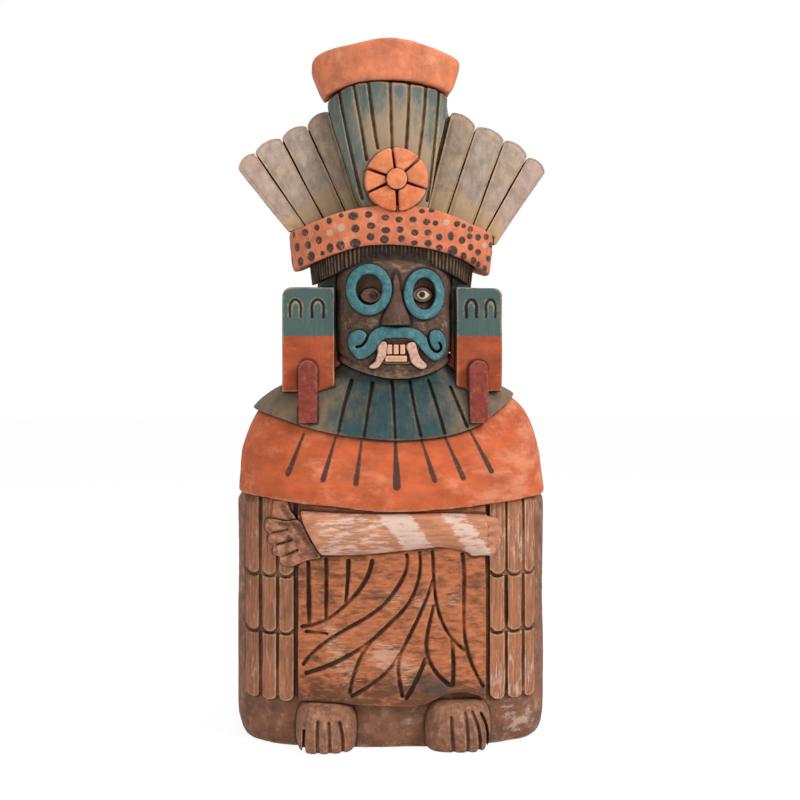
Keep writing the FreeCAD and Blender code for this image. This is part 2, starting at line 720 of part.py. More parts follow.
def socket(shares, half_width):
    inset = goggle_band - socket_inset
    face = ellipse_face(face_spot(*shares), half_width - inset, goggle_half_height - inset)
    return slab(face, -head_front - overrun, 0.0).cut(head_form(-socket_depth))


def make_neck(carriers):
    post = Part.makeCylinder(neck_radius, head_height / 2, Vector(0, 0, head_base))
    vent = Part.makeCylinder(vent_radius, head_height, Vector(0, 0, head_base))
    pieces = without(post, [vent] + carriers).Solids
    return min(pieces, key=lambda solid: solid.BoundBox.ZMin)


def make_goggle(shares, half_width, raised, block):
    centre = face_spot(*shares)
    ring = ellipse_face(centre, half_width, goggle_half_height)
    hole = ellipse_face(centre, half_width - goggle_band, goggle_half_height - goggle_band)
    return relief(ring.cut(hole), head_front + overrun, raised, [block])


def almond(centre, half_width, half_height):
    corners = (centre - Vector(half_width, 0, 0), centre + Vector(half_width, 0, 0))
    top = Part.Arc(corners[0], centre + Vector(0, 0, half_height), corners[1]).toShape()
    bottom = Part.Arc(corners[1], centre - Vector(0, 0, half_height), corners[0]).toShape()
    return Part.Face(Part.Wire([top, bottom]))


def make_eye(shares, raised, floor):
    """The ball, with the lids round it as one ring."""
    centre = face_spot(*shares)
    surface = oval_front(centre.x, head_half_width, head_front, head_back, head_power)
    inner = almond(centre, eyelid_half_width - 1.5 * eyelid_band, eyelid_half_height - eyelid_band)
    outer = almond(centre, eyelid_half_width, eyelid_half_height)
    depth = head_front + overrun
    ball = Part.makeSphere(eye_ball_radius, centre - Vector(0, surface - eye_ball_sink - eye_ball_radius, 0))
    ball = slab(inner, -depth, 0.0).common(ball)
    lids = slabs(outer.cut(inner), -depth, 0.0).common(raised)
    return seated(ball.fuse(lids), [floor])


def make_nose(carriers):
    ring = [oval(head_base + height * head_height, width * nose_half_width, front * nose_front, -nose_root,
                 2.0) for height, width, front in nose_shares]
    return seated(Part.makeLoft(ring, True, False), carriers)


def make_lip(carriers):
    """The coil of the lip, slit beside the knobs at its ends."""
    slits = [strip(spots(face_spot, shares), lip_slit) for shares in lip_slit_shares]
    coil = blob(spots(face_spot, lip_shares)).cut(slits)
    return relief(coil, head_front + overrun, head_form(lip_thickness), carriers)


def make_teeth(carriers):
    outer = head_form(tooth_thickness)
    reach = head_front + overrun
    step = 2 * tooth_half_width + tooth_gap
    top = head_base + tooth_top
    upper = []
    for index in (-1, 0, 1):
        low = Vector(index * step - tooth_half_width, 0, top - tooth_height)
        high = Vector(index * step + tooth_half_width, 0, top)
        upper.append(box_face(low, high))
    bottom = top - tooth_height - tooth_gap
    lower = box_face(Vector(-lower_tooth_half_width, 0, bottom - lower_tooth_height),
                     Vector(lower_tooth_half_width, 0, bottom))
    return [relief(face, reach, outer, carriers) for face in upper], relief(lower, reach, outer, carriers)


def box_face(low, high):
    return polygon((low, Vector(high.x, 0, low.z), high, Vector(low.x, 0, high.z)))


def make_fang(shares, carriers):
    face = blob(spots(face_spot, shares))
    return relief(face, head_front + overrun, head_form(fang_thickness), carriers)


# Headdress
def ring_form(half_width, front, back, taper_share):
    low = band_bottom - 2 * band_height
    high = band_top + band_height
    bottom = oval(low, half_width * taper_share, front * (1 + taper_share) / 2,
                  back * (1 + taper_share) / 2, body_power)
    return Part.makeLoft([bottom, oval(high, half_width, front, back, body_power)], True, True)


def between(bottom, top, reach):
    """Slab between two arched edges."""
    face = outline(bottom, (bottom[-1], top[-1]), list(reversed(top)), (top[0], bottom[0]))
    return slab(face, -reach, reach)


def hair_form():
    """The pad before it is set on the head."""
    bottom = spots(band_spot, hair_bottom_shares)
    top = [point - Vector(0, 0, hair_step) for point in spots(band_spot, band_top_shares)]
    return hair_core().common(between(bottom, top, band_front + overrun))


def hair_core():
    return ring_form(hair_half_width, hair_front, hair_back, hair_taper_share)


def make_band():
    bottom, top = spots(band_spot, band_bottom_shares), spots(band_spot, band_top_shares)
    form = ring_form(band_half_width, band_front, band_back, band_taper_share)
    return seated(form.common(between(bottom, top, band_front + overrun)), [hair_core()])


def feather_faces(edge_shares):
    faces = []
    for inner, outer in zip(edge_shares[:-1], edge_shares[1:]):
        sides = []
        for root_shares, tip_shares in (inner, outer):
            root, tip = fan_spot(*root_shares), fan_spot(*tip_shares)
            sides.append((root + (root - tip) * feather_root_share, tip))
        across = (sides[1][1] - sides[0][1]).normalize() * (feather_gap / 2)
        root_in, tip_in = sides[0][0] + across, sides[0][1] + across
        root_out, tip_out = sides[1][0] - across, sides[1][1] - across
        upward = ((tip_in - root_in) + (tip_out - root_out)).normalize()
        crown = (tip_in + tip_out) / 2 + upward * feather_bow
        tip_arc = Part.Arc(tip_in, crown, tip_out).toShape()
        faces.append(Part.Face(Part.Wire([curve((root_in, tip_in)), tip_arc, curve((tip_out, root_out)),
                                          curve((root_out, root_in))])))
    return faces


def make_feathers(edge_shares, carriers):
    front = back_slab_front - feather_thickness
    return [seated(slab(face, front, back_slab_front), carriers) for face in feather_faces(edge_shares)]


def make_crest(carriers):
    """The crest, and the same form without its flutes for what lies on it."""
    runs = [spots(fan_spot, shares) for shares in (crest_top_shares, crest_right_shares, crest_left_shares)]
    foot = (runs[1][-1], runs[2][0])
    face = outline(runs[0], runs[1], foot, runs[2])
    grooves = [strip(spots(fan_spot, shares), crest_groove) for shares in crest_groove_shares]
    axis = Vector(0, crest_radius - crest_front, band_bottom)
    height = band_height + headdress_height
    outer = Part.makeCylinder(crest_radius, height, axis)
    floor = Part.makeCylinder(crest_radius - crest_groove_depth, height, axis)
    top = slabs(face.cut(grooves), -crest_front - overrun, back_slab_front).common(outer)
    whole = slab(face, -crest_front - overrun, back_slab_front)
    return seated(top.fuse(whole.common(floor)), carriers), whole.common(outer)


def make_cap(carriers):
    runs = [spots(fan_spot, shares) for shares in (cap_left_shares, cap_top_shares, cap_right_shares,
                                                   cap_bottom_shares)]
    axis = Vector(0, cap_radius - cap_front, band_bottom)
    outer = Part.makeCylinder(cap_radius, band_height + headdress_height + overrun, axis)
    return seated(slab(outline(*runs), -cap_front - overrun, fan_back).common(outer), carriers)


def make_rosette(carriers):
    centre = Vector(0, 0, band_top + rosette_height)
    button_face = ellipse_face(centre, button_radius, button_radius)
    grooves = [button_face]
    for angle in petal_groove_angles:
        turn = math.radians(angle)
        out = Vector(math.cos(turn), 0, math.sin(turn)) * (rosette_radius + overrun)
        grooves.append(strip((centre, centre + out), petal_groove))
    disc = ellipse_face(centre, rosette_radius, rosette_radius).cut(grooves)
    petals = [seated(slab(petal, -rosette_front, 0.0), carriers) for petal in disc.Faces]
    button = seated(slab(button_face, -button_front, 0.0), carriers)
    return petals, button


# Ear flares
def make_flare(side, place, width, carriers):
    inner, outer = side * place, side * (place + width)
    low, high = seat_height + flare_base, seat_height + flare_base + flare_height
    corner_in = Vector(outer - side * flare_corner, 0, high)
    corner_out = Vector(outer, 0, high - flare_corner)
    corner_middle = Vector(outer - side * flare_corner * (1 - math.sqrt(0.5)), 0,
                           high - flare_corner * (1 - math.sqrt(0.5)))
    round_corner = Part.Arc(corner_in, corner_middle, corner_out).toShape()
    points = (Vector(inner, 0, high), corner_in, corner_out, Vector(outer, 0, low), Vector(inner, 0, low))
    sides = [curve((points[0], points[1])), round_corner, curve((points[2], points[3])),
             curve((points[3], points[4])), curve((points[4], points[0]))]
    face = Part.Face(Part.Wire(sides))
    marks = []
    for shares in flare_mark_shares:
        arch = [Vector(outer - side * place_share * width, 0, low + height_share * flare_height)
                for place_share, height_share in shares]
        marks.append(slab(strip(arch, mark_width), -flare_front - overrun, -flare_front + mark_depth))
    plate = slab(face, -flare_front, flare_thickness - flare_front)
    root = box_face(Vector(side * flare_root_inner, 0, low),
                    Vector(side * flare_root_outer, 0, high + flare_root_rise))
    root = slab(root, -flare_root_front, flare_thickness - flare_front)
    return seated(plate.fuse(root), marks + carriers)


def make_pendant(side, place, carriers):
    """A leaning bar with a round top, hung on the flare."""
    centre = side * place
    top, bottom = seat_height + pendant_top, seat_height + pendant_top - pendant_length
    profile = Part.Face(Part.makePolygon([
        Vector(centre - pendant_half_width, -pendant_front, top),
        Vector(centre - pendant_half_width, -pendant_front - pendant_lean, bottom),
        Vector(centre - pendant_half_width, pendant_thickness - pendant_front - pendant_lean, bottom),
        Vector(centre - pendant_half_width, pendant_thickness - pendant_front, top),
        Vector(centre - pendant_half_width, -pendant_front, top)]))
    bar = profile.extrude(Vector(2 * pendant_half_width, 0, 0))
    shoulder = top - pendant_half_width
    arch = Part.Arc(Vector(centre - pendant_half_width, 0, shoulder), Vector(centre, 0, top),
                    Vector(centre + pendant_half_width, 0, shoulder)).toShape()
    corners = [Vector(centre + place, 0, height) for place, height in (
        (pendant_half_width, shoulder), (pendant_half_width, bottom), (-pendant_half_width, bottom),
        (-pendant_half_width, shoulder))]
    sides = [curve(pair) for pair in zip(corners[:-1], corners[1:])]
    face = Part.Face(Part.Wire([arch] + sides))
    bar = bar.common(slab(face, -pendant_front - pendant_lean - overrun, 0.0))
    return seated(bar, carriers)


def main():
    os.makedirs("parts", exist_ok=True)

    outside = body_form()
    save("body_shell", make_body_shell(outside))
    robe, robe_block = make_robe(outside)
    save("robe_panel", robe)
    wing_outer = body_form(forward=wing_thickness)
    wing_floor = body_form(forward=wing_thickness - wing_groove_depth)
    wings = [make_wing(shares, wing_outer, wing_floor, outside)
             for shares in (left_wing_shares, right_wing_shares)]
    save("wing_left", wings[0])
    save("wing_right", wings[1])

    block = head_block(head_form())
    save("head_shell", make_head(block))
    neck = make_neck([block])
    save("neck_post", neck)
    mantle = mantle_form()
    save("cape", make_cape(mantle, [outside, block, neck]))
    collar_outer = mantle_form(collar_thickness)
    collar_floor = mantle_form(collar_thickness - collar_groove_depth)
    save("collar", make_collar(collar_outer, collar_floor, [mantle, block, neck]))

    floor = [outside, robe_block, slab(above_cape_edge(), -mantle_front - overrun, 0.0)]
    forearm, palm = make_arm(floor)
    save("front_forearm", forearm)
    ground = floor + wings
    save("front_hand", make_front_hand(palm, ground + [forearm]))
    rear_hand = make_rear_hand(ground + [forearm])
    save("rear_hand", rear_hand)
    save("rear_cuff", make_rear_cuff(ground + [forearm, rear_hand]))
    footing = [outside, robe_block]
    save("foot_left", make_foot(-left_foot_place, left_foot_half_width, left_toe_shares, footing))
    save("foot_right", make_foot(right_foot_place, right_foot_half_width, right_toe_shares, footing))

    raised = head_form(goggle_thickness)
    left_goggle = make_goggle(left_goggle_shares, left_goggle_half_width, raised, block)
    right_goggle = make_goggle(right_goggle_shares, right_goggle_half_width, raised, block)
    save("goggle_left", left_goggle)
    save("goggle_right", right_goggle)
    lid_form, socket_floor = head_form(-eyelid_sink), head_form(-socket_depth)
    save("eye_left", make_eye(left_eye_shares, lid_form, socket_floor))
    save("eye_right", make_eye(right_eye_shares, lid_form, socket_floor))
    nose = make_nose([block, left_goggle, right_goggle])
    save("nose", nose)
    lip = make_lip([block, nose])
    save("moustache_lip", lip)
    gum = relief(polygon(spots(face_spot, gum_shares)), head_front + overrun, head_form(gum_thickness),
                 [block, lip])
    save("gum_plate", gum)
    upper, lower = make_teeth([block, gum, lip])
    save("upper_teeth", *upper)
    save("lower_teeth", lower)
    mouth = [block, gum, lip, lower] + upper
    save("fang_left", make_fang(left_fang_shares, mouth))
    save("fang_right", make_fang(right_fang_shares, mouth))

    pad = hair_form()
    save("hair_fringe", seated(pad, [block]))
    band = make_band()
    save("headband", band)
    seat = [pad, band]
    back = slab(polygon(spots(fan_spot, back_slab_shares)), back_slab_front, fan_back)
    back = seated(back, seat)
    save("headdress_back", back)
    crest, crest_block = make_crest(seat)
    save("crest_panel", crest)
    save("crest_cap", make_cap([crest_block, back]))
    for side, shares in (("left", left_feather_shares), ("right", right_feather_shares)):
        for number, feather in enumerate(make_feathers(shares, seat + [crest_block])):
            save("feather_%s_%d" % (side, number + 1), feather)
    petals, button = make_rosette([crest_block, band, pad])
    save("rosette_petals", *petals)
    save("rosette_button", button)

    shoulders = [collar_outer, block, pad]
    left_flare = make_flare(-1, left_flare_place, left_flare_width, shoulders)
    right_flare = make_flare(1, right_flare_place, right_flare_width, shoulders)
    save("ear_flare_left", left_flare)
    save("ear_flare_right", right_flare)
    save("ear_pendant_left", make_pendant(-1, left_pendant_place, [collar_outer, left_flare]))
    save("ear_pendant_right", make_pendant(1, right_pendant_place, [collar_outer, right_flare]))


main()
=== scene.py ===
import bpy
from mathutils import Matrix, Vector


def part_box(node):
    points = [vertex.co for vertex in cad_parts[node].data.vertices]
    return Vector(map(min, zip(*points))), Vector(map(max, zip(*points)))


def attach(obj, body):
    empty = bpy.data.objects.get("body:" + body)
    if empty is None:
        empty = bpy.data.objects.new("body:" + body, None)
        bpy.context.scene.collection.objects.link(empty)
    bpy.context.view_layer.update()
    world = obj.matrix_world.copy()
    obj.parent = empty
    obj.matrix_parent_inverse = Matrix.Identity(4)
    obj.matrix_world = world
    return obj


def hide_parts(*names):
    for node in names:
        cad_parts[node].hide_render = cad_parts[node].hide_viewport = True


bl_info = {
    "name": "Rain god sculpture",
    "version": (1, 0, 0),
    "blender": (4, 5, 0),
    "location": "3D View > Sidebar > Rain God",
    "description": "Hand-shaped and painted clay pieces over the packed model",
    "category": "Object",
}

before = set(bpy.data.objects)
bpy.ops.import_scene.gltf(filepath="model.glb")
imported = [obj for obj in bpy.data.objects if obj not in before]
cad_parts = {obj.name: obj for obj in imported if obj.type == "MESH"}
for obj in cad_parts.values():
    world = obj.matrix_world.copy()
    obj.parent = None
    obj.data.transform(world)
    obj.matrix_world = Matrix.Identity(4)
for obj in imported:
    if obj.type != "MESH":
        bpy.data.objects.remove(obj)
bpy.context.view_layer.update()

import math

import bmesh
import bpy
import numpy as np
from mathutils import Vector
from mathutils.bvhtree import BVHTree

MM = 0.001


def screen(red, green, blue):
    """A colour read off the object, 0 to 255, as Blender's linear colour."""
    return tuple((value / 255 / 12.92) if value < 11 else ((value / 255 + 0.055) / 1.055) ** 2.4
                 for value in (red, green, blue))


# Settings a user may change

def length(name, description, millimetres):
    return bpy.props.FloatProperty(name=name, description=description, default=millimetres * MM,
                                   min=0.0, precision=5, subtype="DISTANCE", unit="LENGTH")


def colour(name, description, red, green, blue):
    return bpy.props.FloatVectorProperty(name=name, description=description, subtype="COLOR", size=3,
                                         min=0.0, max=1.0, default=screen(red, green, blue))


class FigureSizes(bpy.types.PropertyGroup):
    coarse_grain: length("Coarse grain", "Mesh size of the body and neck", 1.2)
    broad_grain: length("Broad grain", "Mesh size of the cape and the slab behind the plumes", 1.0)
    medium_grain: length("Medium grain", "Mesh size of the robe, collar, headband and plumes", 0.6)
    fine_grain: length("Fine grain", "Mesh size of wings, arms, feet, hair, crest and pendants", 0.5)
    small_grain: length("Small grain", "Mesh size of the goggles, nose and rosette", 0.4)
    dents: length("Dents", "How far the hand-shaped clay swells and dips", 0.35)
    dent_width: length("Dent width", "How far apart the swells lie", 16.0)
    rib_pitch: length("Rib pitch", "Distance between the ribs of the fringe", 2.5)
    rib_depth: length("Rib depth", "Depth of the cuts between the ribs", 0.9)
    plume_crown: length("Plume crown", "How far each plume swells between its edges", 0.9)
    layer_step: length("Layer step", "How far each row of wing feathers stands off the next", 0.6)


class FigurePaints(bpy.types.PropertyGroup):
    clay: colour("Clay", "Fired clay under the paint", 150, 100, 74)
    dark_clay: colour("Dark clay", "Clay under the brown wash", 104, 72, 56)
    # The stain also darkens the seams between pieces, as painted shade
    stain_and_seam_shade: colour("Stain", "Dark wash in the hollows", 44, 31, 24)
    buff: colour("Buff", "Pale dust on worn edges", 214, 184, 150)
    orange: colour("Orange", "Cape", 214, 104, 60)
    pale_orange: colour("Pale orange", "Brushed highlights of the cape", 236, 146, 108)
    rosette: colour("Rosette", "Petals and button", 240, 144, 98)
    teal: colour("Teal", "Collar", 54, 78, 80)
    bright_teal: colour("Bright teal", "Goggles and lip", 74, 124, 130)
    face: colour("Face", "Dark face paint", 102, 78, 64)
    hair: colour("Hair", "Ribbed fringe", 74, 56, 44)
    plume: colour("Plume", "Lowest feathers and the slab behind them", 180, 158, 138)
    slip: colour("Slip", "White slip on the body and wings", 228, 200, 186)
    robe: colour("Robe", "Brown wash on the robe", 200, 119, 77)
    red: colour("Red", "Ear pendants", 142, 62, 50)
    flare: colour("Flare", "Lower half of the ear flares", 184, 86, 50)
    tooth: colour("Tooth", "Teeth", 226, 162, 128)
    spot: colour("Spot", "Painted spots and strokes", 66, 54, 54)
    backdrop: colour("Backdrop", "Floor and background", 255, 255, 255)


def sizes():
    return bpy.context.scene.figure_sizes


def paints():
    return bpy.context.scene.figure_paints


def linear(paint):
    """The linear colour of a paint, given by its setting's name or by red, green and blue, 0 to 255."""
    return tuple(getattr(paints(), paint)) if isinstance(paint, str) else screen(*paint)


# The camera, in millimetres and in pixels of the photograph

image_width = 800
sensor_width = 36.0
view_distance = 1100.0
view_height = 243.0
view_turn = math.radians(-3.0)
view_scale = 1811.7             # image pixels for a size as large as its distance
view_middle = (391.5, 330.0)    # pixel that shows the middle line at the camera's height


def seen(across, down, ahead):
    """X and Z in metres of what that pixel shows, this many millimetres ahead of the middle."""
    step = (view_distance - ahead) / view_scale
    return (((across - view_middle[0]) * step + ahead * math.sin(view_turn)) * MM,
            (view_height - (down - view_middle[1]) * step) * MM)


def seen_run(run, ahead):
    return [seen(*pixel, ahead) for pixel in run]


# Working on meshes

def read_rows(items, key, width, kind=float):
    flat = np.empty(width * len(items), kind)
    items.foreach_get(key, flat)
    return flat.reshape(-1, width)


def read_points(mesh):
    return read_rows(mesh.vertices, "co", 3)


def read_normals(mesh):
    return read_rows(mesh.vertex_normals, "vector", 3)


def read_pairs(mesh):
    return read_rows(mesh.edges, "vertices", 2, np.int32)


def write_points(mesh, points):
    mesh.vertices.foreach_set("co", np.ascontiguousarray(points).ravel())
    mesh.update()


def soften(values, pairs, grain, radius):
    """Values averaged with their neighbours over about this radius."""
    values = values.copy()
    count = len(values)
    start, end = pairs[:, 0], pairs[:, 1]
    degree = np.maximum(np.bincount(start, minlength=count) + np.bincount(end, minlength=count), 1)
    for _ in range(max(1, round(4 * (radius / grain) ** 2))):
        for column in range(values.shape[1]):
            line = values[:, column]
            total = np.bincount(start, line[end], count) + np.bincount(end, line[start], count)
            values[:, column] = line + 0.5 * (total / degree - line)
    return values


def unevenness(points, width, seed):
    """Smooth noise, mostly between -1 and 1, with swells about this wide."""
    random = np.random.default_rng(seed)
    total = np.zeros(len(points))
    for _ in range(20):
        direction = random.normal(size=3)
        direction *= 2 * math.pi / (np.linalg.norm(direction) * width * random.uniform(1.3, 3.0))
        total += np.cos(points @ direction + random.uniform(0, 2 * math.pi))
    return total / 5


def step_between(values, low, high):
    """0 below low, 1 above high, smooth between."""
    share = np.clip((values - low) / (high - low), 0, 1)
    return share * share * (3 - 2 * share)


def line_distance(points, run):
    """Distance in X and Z from points to a run of straight lines."""
    flat = points[:, (0, 2)]
    best = np.full(len(flat), np.inf)
    for start, end in zip(run[:-1], run[1:]):
        start, along = np.array(start), np.array(end) - np.array(start)
        share = np.clip(((flat - start) @ along) / (along @ along), 0, 1)
        best = np.minimum(best, np.linalg.norm(flat - start - share[:, None] * along, axis=1))
    return best


outside = -9.0                  # a mark's number where it isn't painted


def front_lines(points, lines):
    """How far inside the nearest of these lines each point of the front lies, in millimetres."""
    best = np.full(len(points), outside)
    for run, half in lines:
        best = np.maximum(best, half - line_distance(points, run) / MM)
    return np.where(points[:, 1] < 0, best, outside)


def near_spots(points, spots, ahead):
    """1 at each spot, less away from it: across and down in pixels, reach in millimetres."""
    total = np.zeros(len(points))
    for across, down, reach in spots:
        gap = np.linalg.norm(points[:, (0, 2)] - np.array(seen(across, down, ahead)), axis=1)
        total += np.exp(-(gap / (reach * MM)) ** 2)
    return total


node_shapes = {}


def node_shape(name):
    """A CAD node's corners and faces as plain lists, read once."""
    if name not in node_shapes:
        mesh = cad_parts[name].data
        node_shapes[name] = (read_points(mesh).tolist(), [tuple(face.vertices) for face in mesh.polygons])
    return node_shapes[name]


def nearest_others(points, nodes, reach):
    """Distance from each point to the CAD nodes of the other pieces, up to reach."""
    low, high = points.min(axis=0) - reach, points.max(axis=0) + reach
    corners, faces = [], []
    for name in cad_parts:
        box_low, box_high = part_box(name)
        if name in nodes or np.any(np.array(box_low) > high) or np.any(np.array(box_high) < low):
            continue
        first = len(corners)
        node_corners, node_faces = node_shape(name)
        corners.extend(node_corners)
        faces.extend([first + index for index in face] for face in node_faces)
    found = np.full(len(points), reach)
    if faces:
        tree = BVHTree.FromPolygons(corners, faces)
        for index, point in enumerate(points.tolist()):
            distance = tree.find_nearest(point, reach)[3]
            if distance is not None:
                found[index] = distance
    return found


class Clay:
    """One piece of clay, remeshed from its CAD nodes, or the node of its name, and rounded in millimetres."""

    def __init__(self, name, grain, rounding, nodes=()):
        self.nodes, self.grain = list(nodes) or [name], grain
        shape = bmesh.new()
        for node in self.nodes:
            shape.from_mesh(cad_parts[node].data)
        mesh = bpy.data.meshes.new(name)
        shape.to_mesh(mesh)
        shape.free()
        self.piece = bpy.data.objects.new(name, mesh)
        bpy.context.scene.collection.objects.link(self.piece)
        remesh = self.piece.modifiers.new("Grain", "REMESH")
        remesh.mode = "VOXEL"
        remesh.voxel_size = grain
        remesh.use_smooth_shade = True
        ready = self.piece.evaluated_get(bpy.context.evaluated_depsgraph_get())
        self.mesh = bpy.data.meshes.new_from_object(ready)
        self.piece.modifiers.clear()
        self.piece.data = self.mesh
        self.pairs = read_pairs(self.mesh)
        if not len(self.pairs):
            raise RuntimeError("no clay made for " + name)
        boxes = [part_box(node) for node in self.nodes]
        self.low = np.min([low for low, _ in boxes], axis=0)
        self.high = np.max([high for _, high in boxes], axis=0)
        self.points = soften(read_points(self.mesh), self.pairs, grain, rounding * MM)
        write_points(self.mesh, self.points)

    def press(self, amounts):
        """Moves the surface out along its normals by these amounts, in metres."""
        self.points = self.points + read_normals(self.mesh) * amounts[:, None]
        self.points = np.clip(self.points, self.low, self.high)
        write_points(self.mesh, self.points)

    def dent(self, seed, share=1.0):
        depth = sizes().dents * share
        self.press(depth * unevenness(self.points, sizes().dent_width, seed)
                   + 0.25 * depth * unevenness(self.points, sizes().dent_width / 4, seed + 1))

    def note(self, name, values):
        """Keeps a number for each point, for the materials to read."""
        layer = self.mesh.attributes.new(name, "FLOAT", "POINT")
        layer.data.foreach_set("value", np.ascontiguousarray(values, dtype=np.float32))

    def finish(self, material, relief_radius=1.3):
        """Notes the relief and the seams, then gives the piece its material, attaches it to the root body and
        hides its CAD nodes.
        """
        normals = read_normals(self.mesh)
        flat = soften(self.points, self.pairs, self.grain, relief_radius * MM)
        relief = np.einsum("ij,ij->i", self.points - flat, normals) / MM
        self.note("relief", soften(relief[:, None], self.pairs, self.grain, 0.3 * MM)[:, 0])
        self.note("seam", nearest_others(self.points, self.nodes, 8 * MM) / MM)
        self.mesh.polygons.foreach_set("use_smooth", np.ones(len(self.mesh.polygons), bool))
        self.mesh.materials.clear()
        self.mesh.materials.append(material)
        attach(self.piece, "root")
        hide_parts(*self.nodes)
        return self.piece


# Painting

def add_node(tree, kind, inputs, **settings):
    """A new shader node, whose inputs take values or the outputs of other nodes."""
    node = tree.nodes.new(kind)
    for key, value in settings.items():
        setattr(node, key, value)
    for key, value in inputs.items():
        if isinstance(value, bpy.types.NodeSocket):
            tree.links.new(value, node.inputs[key])
        else:
            node.inputs[key].default_value = value
    return node


class Coat:
    """A painted clay surface, built up coat by coat."""

    def __init__(self, name, roughness=0.82):
        self.material = bpy.data.materials.new(name)
        self.material.use_nodes = True
        self.tree = self.material.node_tree
        self.shader = self.tree.nodes["Principled BSDF"]
        self.shader.inputs["Specular IOR Level"].default_value = 0.3
        self.place = self.add("ShaderNodeTexCoord", {}).outputs["Object"]
        self.relief = self.noted("relief")
        self.seam = self.noted("seam")
        self.fine = self.noise(1.1, detail=5)
        self.blotch = self.noise(7.0, detail=5)
        self.cloud = self.noise(26.0, detail=3, shift=40)
        self.chips = self.noise(3.2, detail=4, shift=51, rough=0.7)
        self.roughness = roughness
        self.tint = None

    def add(self, kind, inputs, **settings):
        return add_node(self.tree, kind, inputs, **settings)

    def noise(self, size, stretch=(1, 1, 1), detail=4, shift=0, rough=0.55):
        """Noise from 0 to 1 with features of this size in millimetres, drawn out along the axes."""
        scale = [1 / (size * MM * share) for share in stretch]
        mapping = self.add("ShaderNodeMapping", {"Vector": self.place, "Scale": scale,
                                                 "Location": (shift, shift / 2, -shift)})
        return self.add("ShaderNodeTexNoise", {"Vector": mapping.outputs[0], "Scale": 1.0, "Detail": detail,
                                               "Roughness": rough}).outputs["Fac"]

    def ramp(self, value, low, high):
        node = self.add("ShaderNodeMapRange", {"Value": value, "From Min": low, "From Max": high},
                        interpolation_type="SMOOTHSTEP")
        return node.outputs["Result"]

    def maths(self, operation, first, second=0.0):
        return self.add("ShaderNodeMath", {0: first, 1: second}, operation=operation).outputs[0]

    def times(self, first, second):
        return self.maths("MULTIPLY", first, second)

    def plus(self, first, second):
        return self.maths("ADD", first, second)

    def blend(self, factor, first, second):
        def filled(value):
            return value if isinstance(value, bpy.types.NodeSocket) else (*value, 1.0)
        return self.add("ShaderNodeMix", {0: factor, 6: filled(first), 7: filled(second)},
                        data_type="RGBA").outputs[2]

    def swing(self, noise, amount):
        """Noise moved to lie about zero, this wide."""
        return self.times(self.maths("SUBTRACT", noise, 0.5), amount)

    def noted(self, name, share=None):
        """A number that the clay keeps for each point, or a share of it."""
        number = self.add("ShaderNodeAttribute", {}, attribute_name=name).outputs["Fac"]
        return number if share is None else self.times(number, share)

    def cover(self, paint, share, amount=1.0):
        """Lays a paint over what is there, where the share says and this strongly."""
        self.tint = self.blend(self.times(share, amount), self.tint, linear(paint))

    def paint(self, paint, pale, streak=(1, 1, 1), size=3.0, spread=0.16):
        """The first coat: brushed, so darker and paler streaks run one way."""
        brush = self.noise(size, streak, detail=6, rough=0.65)
        full = linear(paint)
        dark = tuple(value * 0.62 for value in full)
        self.tint = self.blend(self.ramp(brush, 0.5 - spread, 0.5 + spread), dark, full)
        high = self.noise(size * 1.3, streak, detail=5, shift=17, rough=0.7)
        self.cover(pale, self.ramp(high, 0.5, 0.72), 0.6)

    def scumble(self, paint, size, low, high, amount=1.0, streak=(1, 1, 1), shift=5, where=None):
        """Another paint, broken by the brush, where noise and the number given run from low to high."""
        cover = self.noise(size, streak, detail=7, shift=shift, rough=0.68)
        if where is not None:
            cover = self.plus(cover, where)
        self.cover(paint, self.ramp(cover, low, high), amount)

    def mark(self, name, paint, soft=0.35, wobble=0.9, amount=1.0, wear=0.5):
        """A painted mark whose edge lies where the noted number crosses zero, in millimetres."""
        edge = self.plus(self.noted(name), self.swing(self.fine, wobble))
        thin = self.ramp(self.noise(1.6, detail=5, shift=9), 0.30, 0.30 + 0.25 * wear + 0.01)
        strength = self.plus(self.times(thin, 0.5), 0.5)
        self.cover(paint, self.times(self.ramp(edge, -soft, soft), strength), amount)

    def wear(self, under, start=0.12, full=0.4, amount=0.8):
        """Paint rubbed off the raised edges."""
        patchy = self.plus(self.swing(self.fine, 0.35), self.swing(self.chips, 0.55))
        self.cover(under, self.ramp(self.plus(self.relief, patchy), start, full), amount)

    def wash(self, stain_and_seam_shade, start=0.08, full=0.55, seam_shade_amount=0.85, seam_reach=1.8, grime=0.3):
        """Dark wash left in the hollows and in patches, and painted shade along the seams where other pieces
        come near.
        """
        sunk = self.plus(self.times(self.relief, -1.0), self.swing(self.blotch, 0.3))
        self.cover(stain_and_seam_shade, self.ramp(sunk, start, full), 0.92)
        # Painted shade: darker within reach of the other pieces
        seam_shade_near = self.plus(self.seam, self.swing(self.blotch, 2.0))
        self.cover(stain_and_seam_shade, self.ramp(seam_shade_near, seam_reach, 0.1), seam_shade_amount)
        dirt = self.times(self.ramp(self.cloud, 0.48, 0.75), self.ramp(self.blotch, 0.35, 0.65))
        self.cover(stain_and_seam_shade, dirt, grime)

    def done(self, bump=0.35, streak=(1, 1, 1)):
        grain = self.noise(0.9, detail=4, shift=3)
        strokes = self.noise(2.2, streak, detail=4, shift=23)
        height = self.plus(self.times(grain, 0.5), self.times(strokes, 0.7))
        pits = self.ramp(self.noise(2.6, detail=2, shift=31), 0.33, 0.24)
        height = self.maths("SUBTRACT", height, self.times(pits, 0.9))
        bumps = self.add("ShaderNodeBump", {"Height": height, "Strength": bump, "Distance": 0.35 * MM})
        self.tree.links.new(bumps.outputs[0], self.shader.inputs["Normal"])
        sheen = self.plus(self.roughness - 0.12, self.times(self.blotch, 0.22))
        self.tree.links.new(sheen, self.shader.inputs["Roughness"])
        self.tree.links.new(self.tint, self.shader.inputs["Base Color"])
        return self.material


upright = (0.45, 0.45, 5.0)


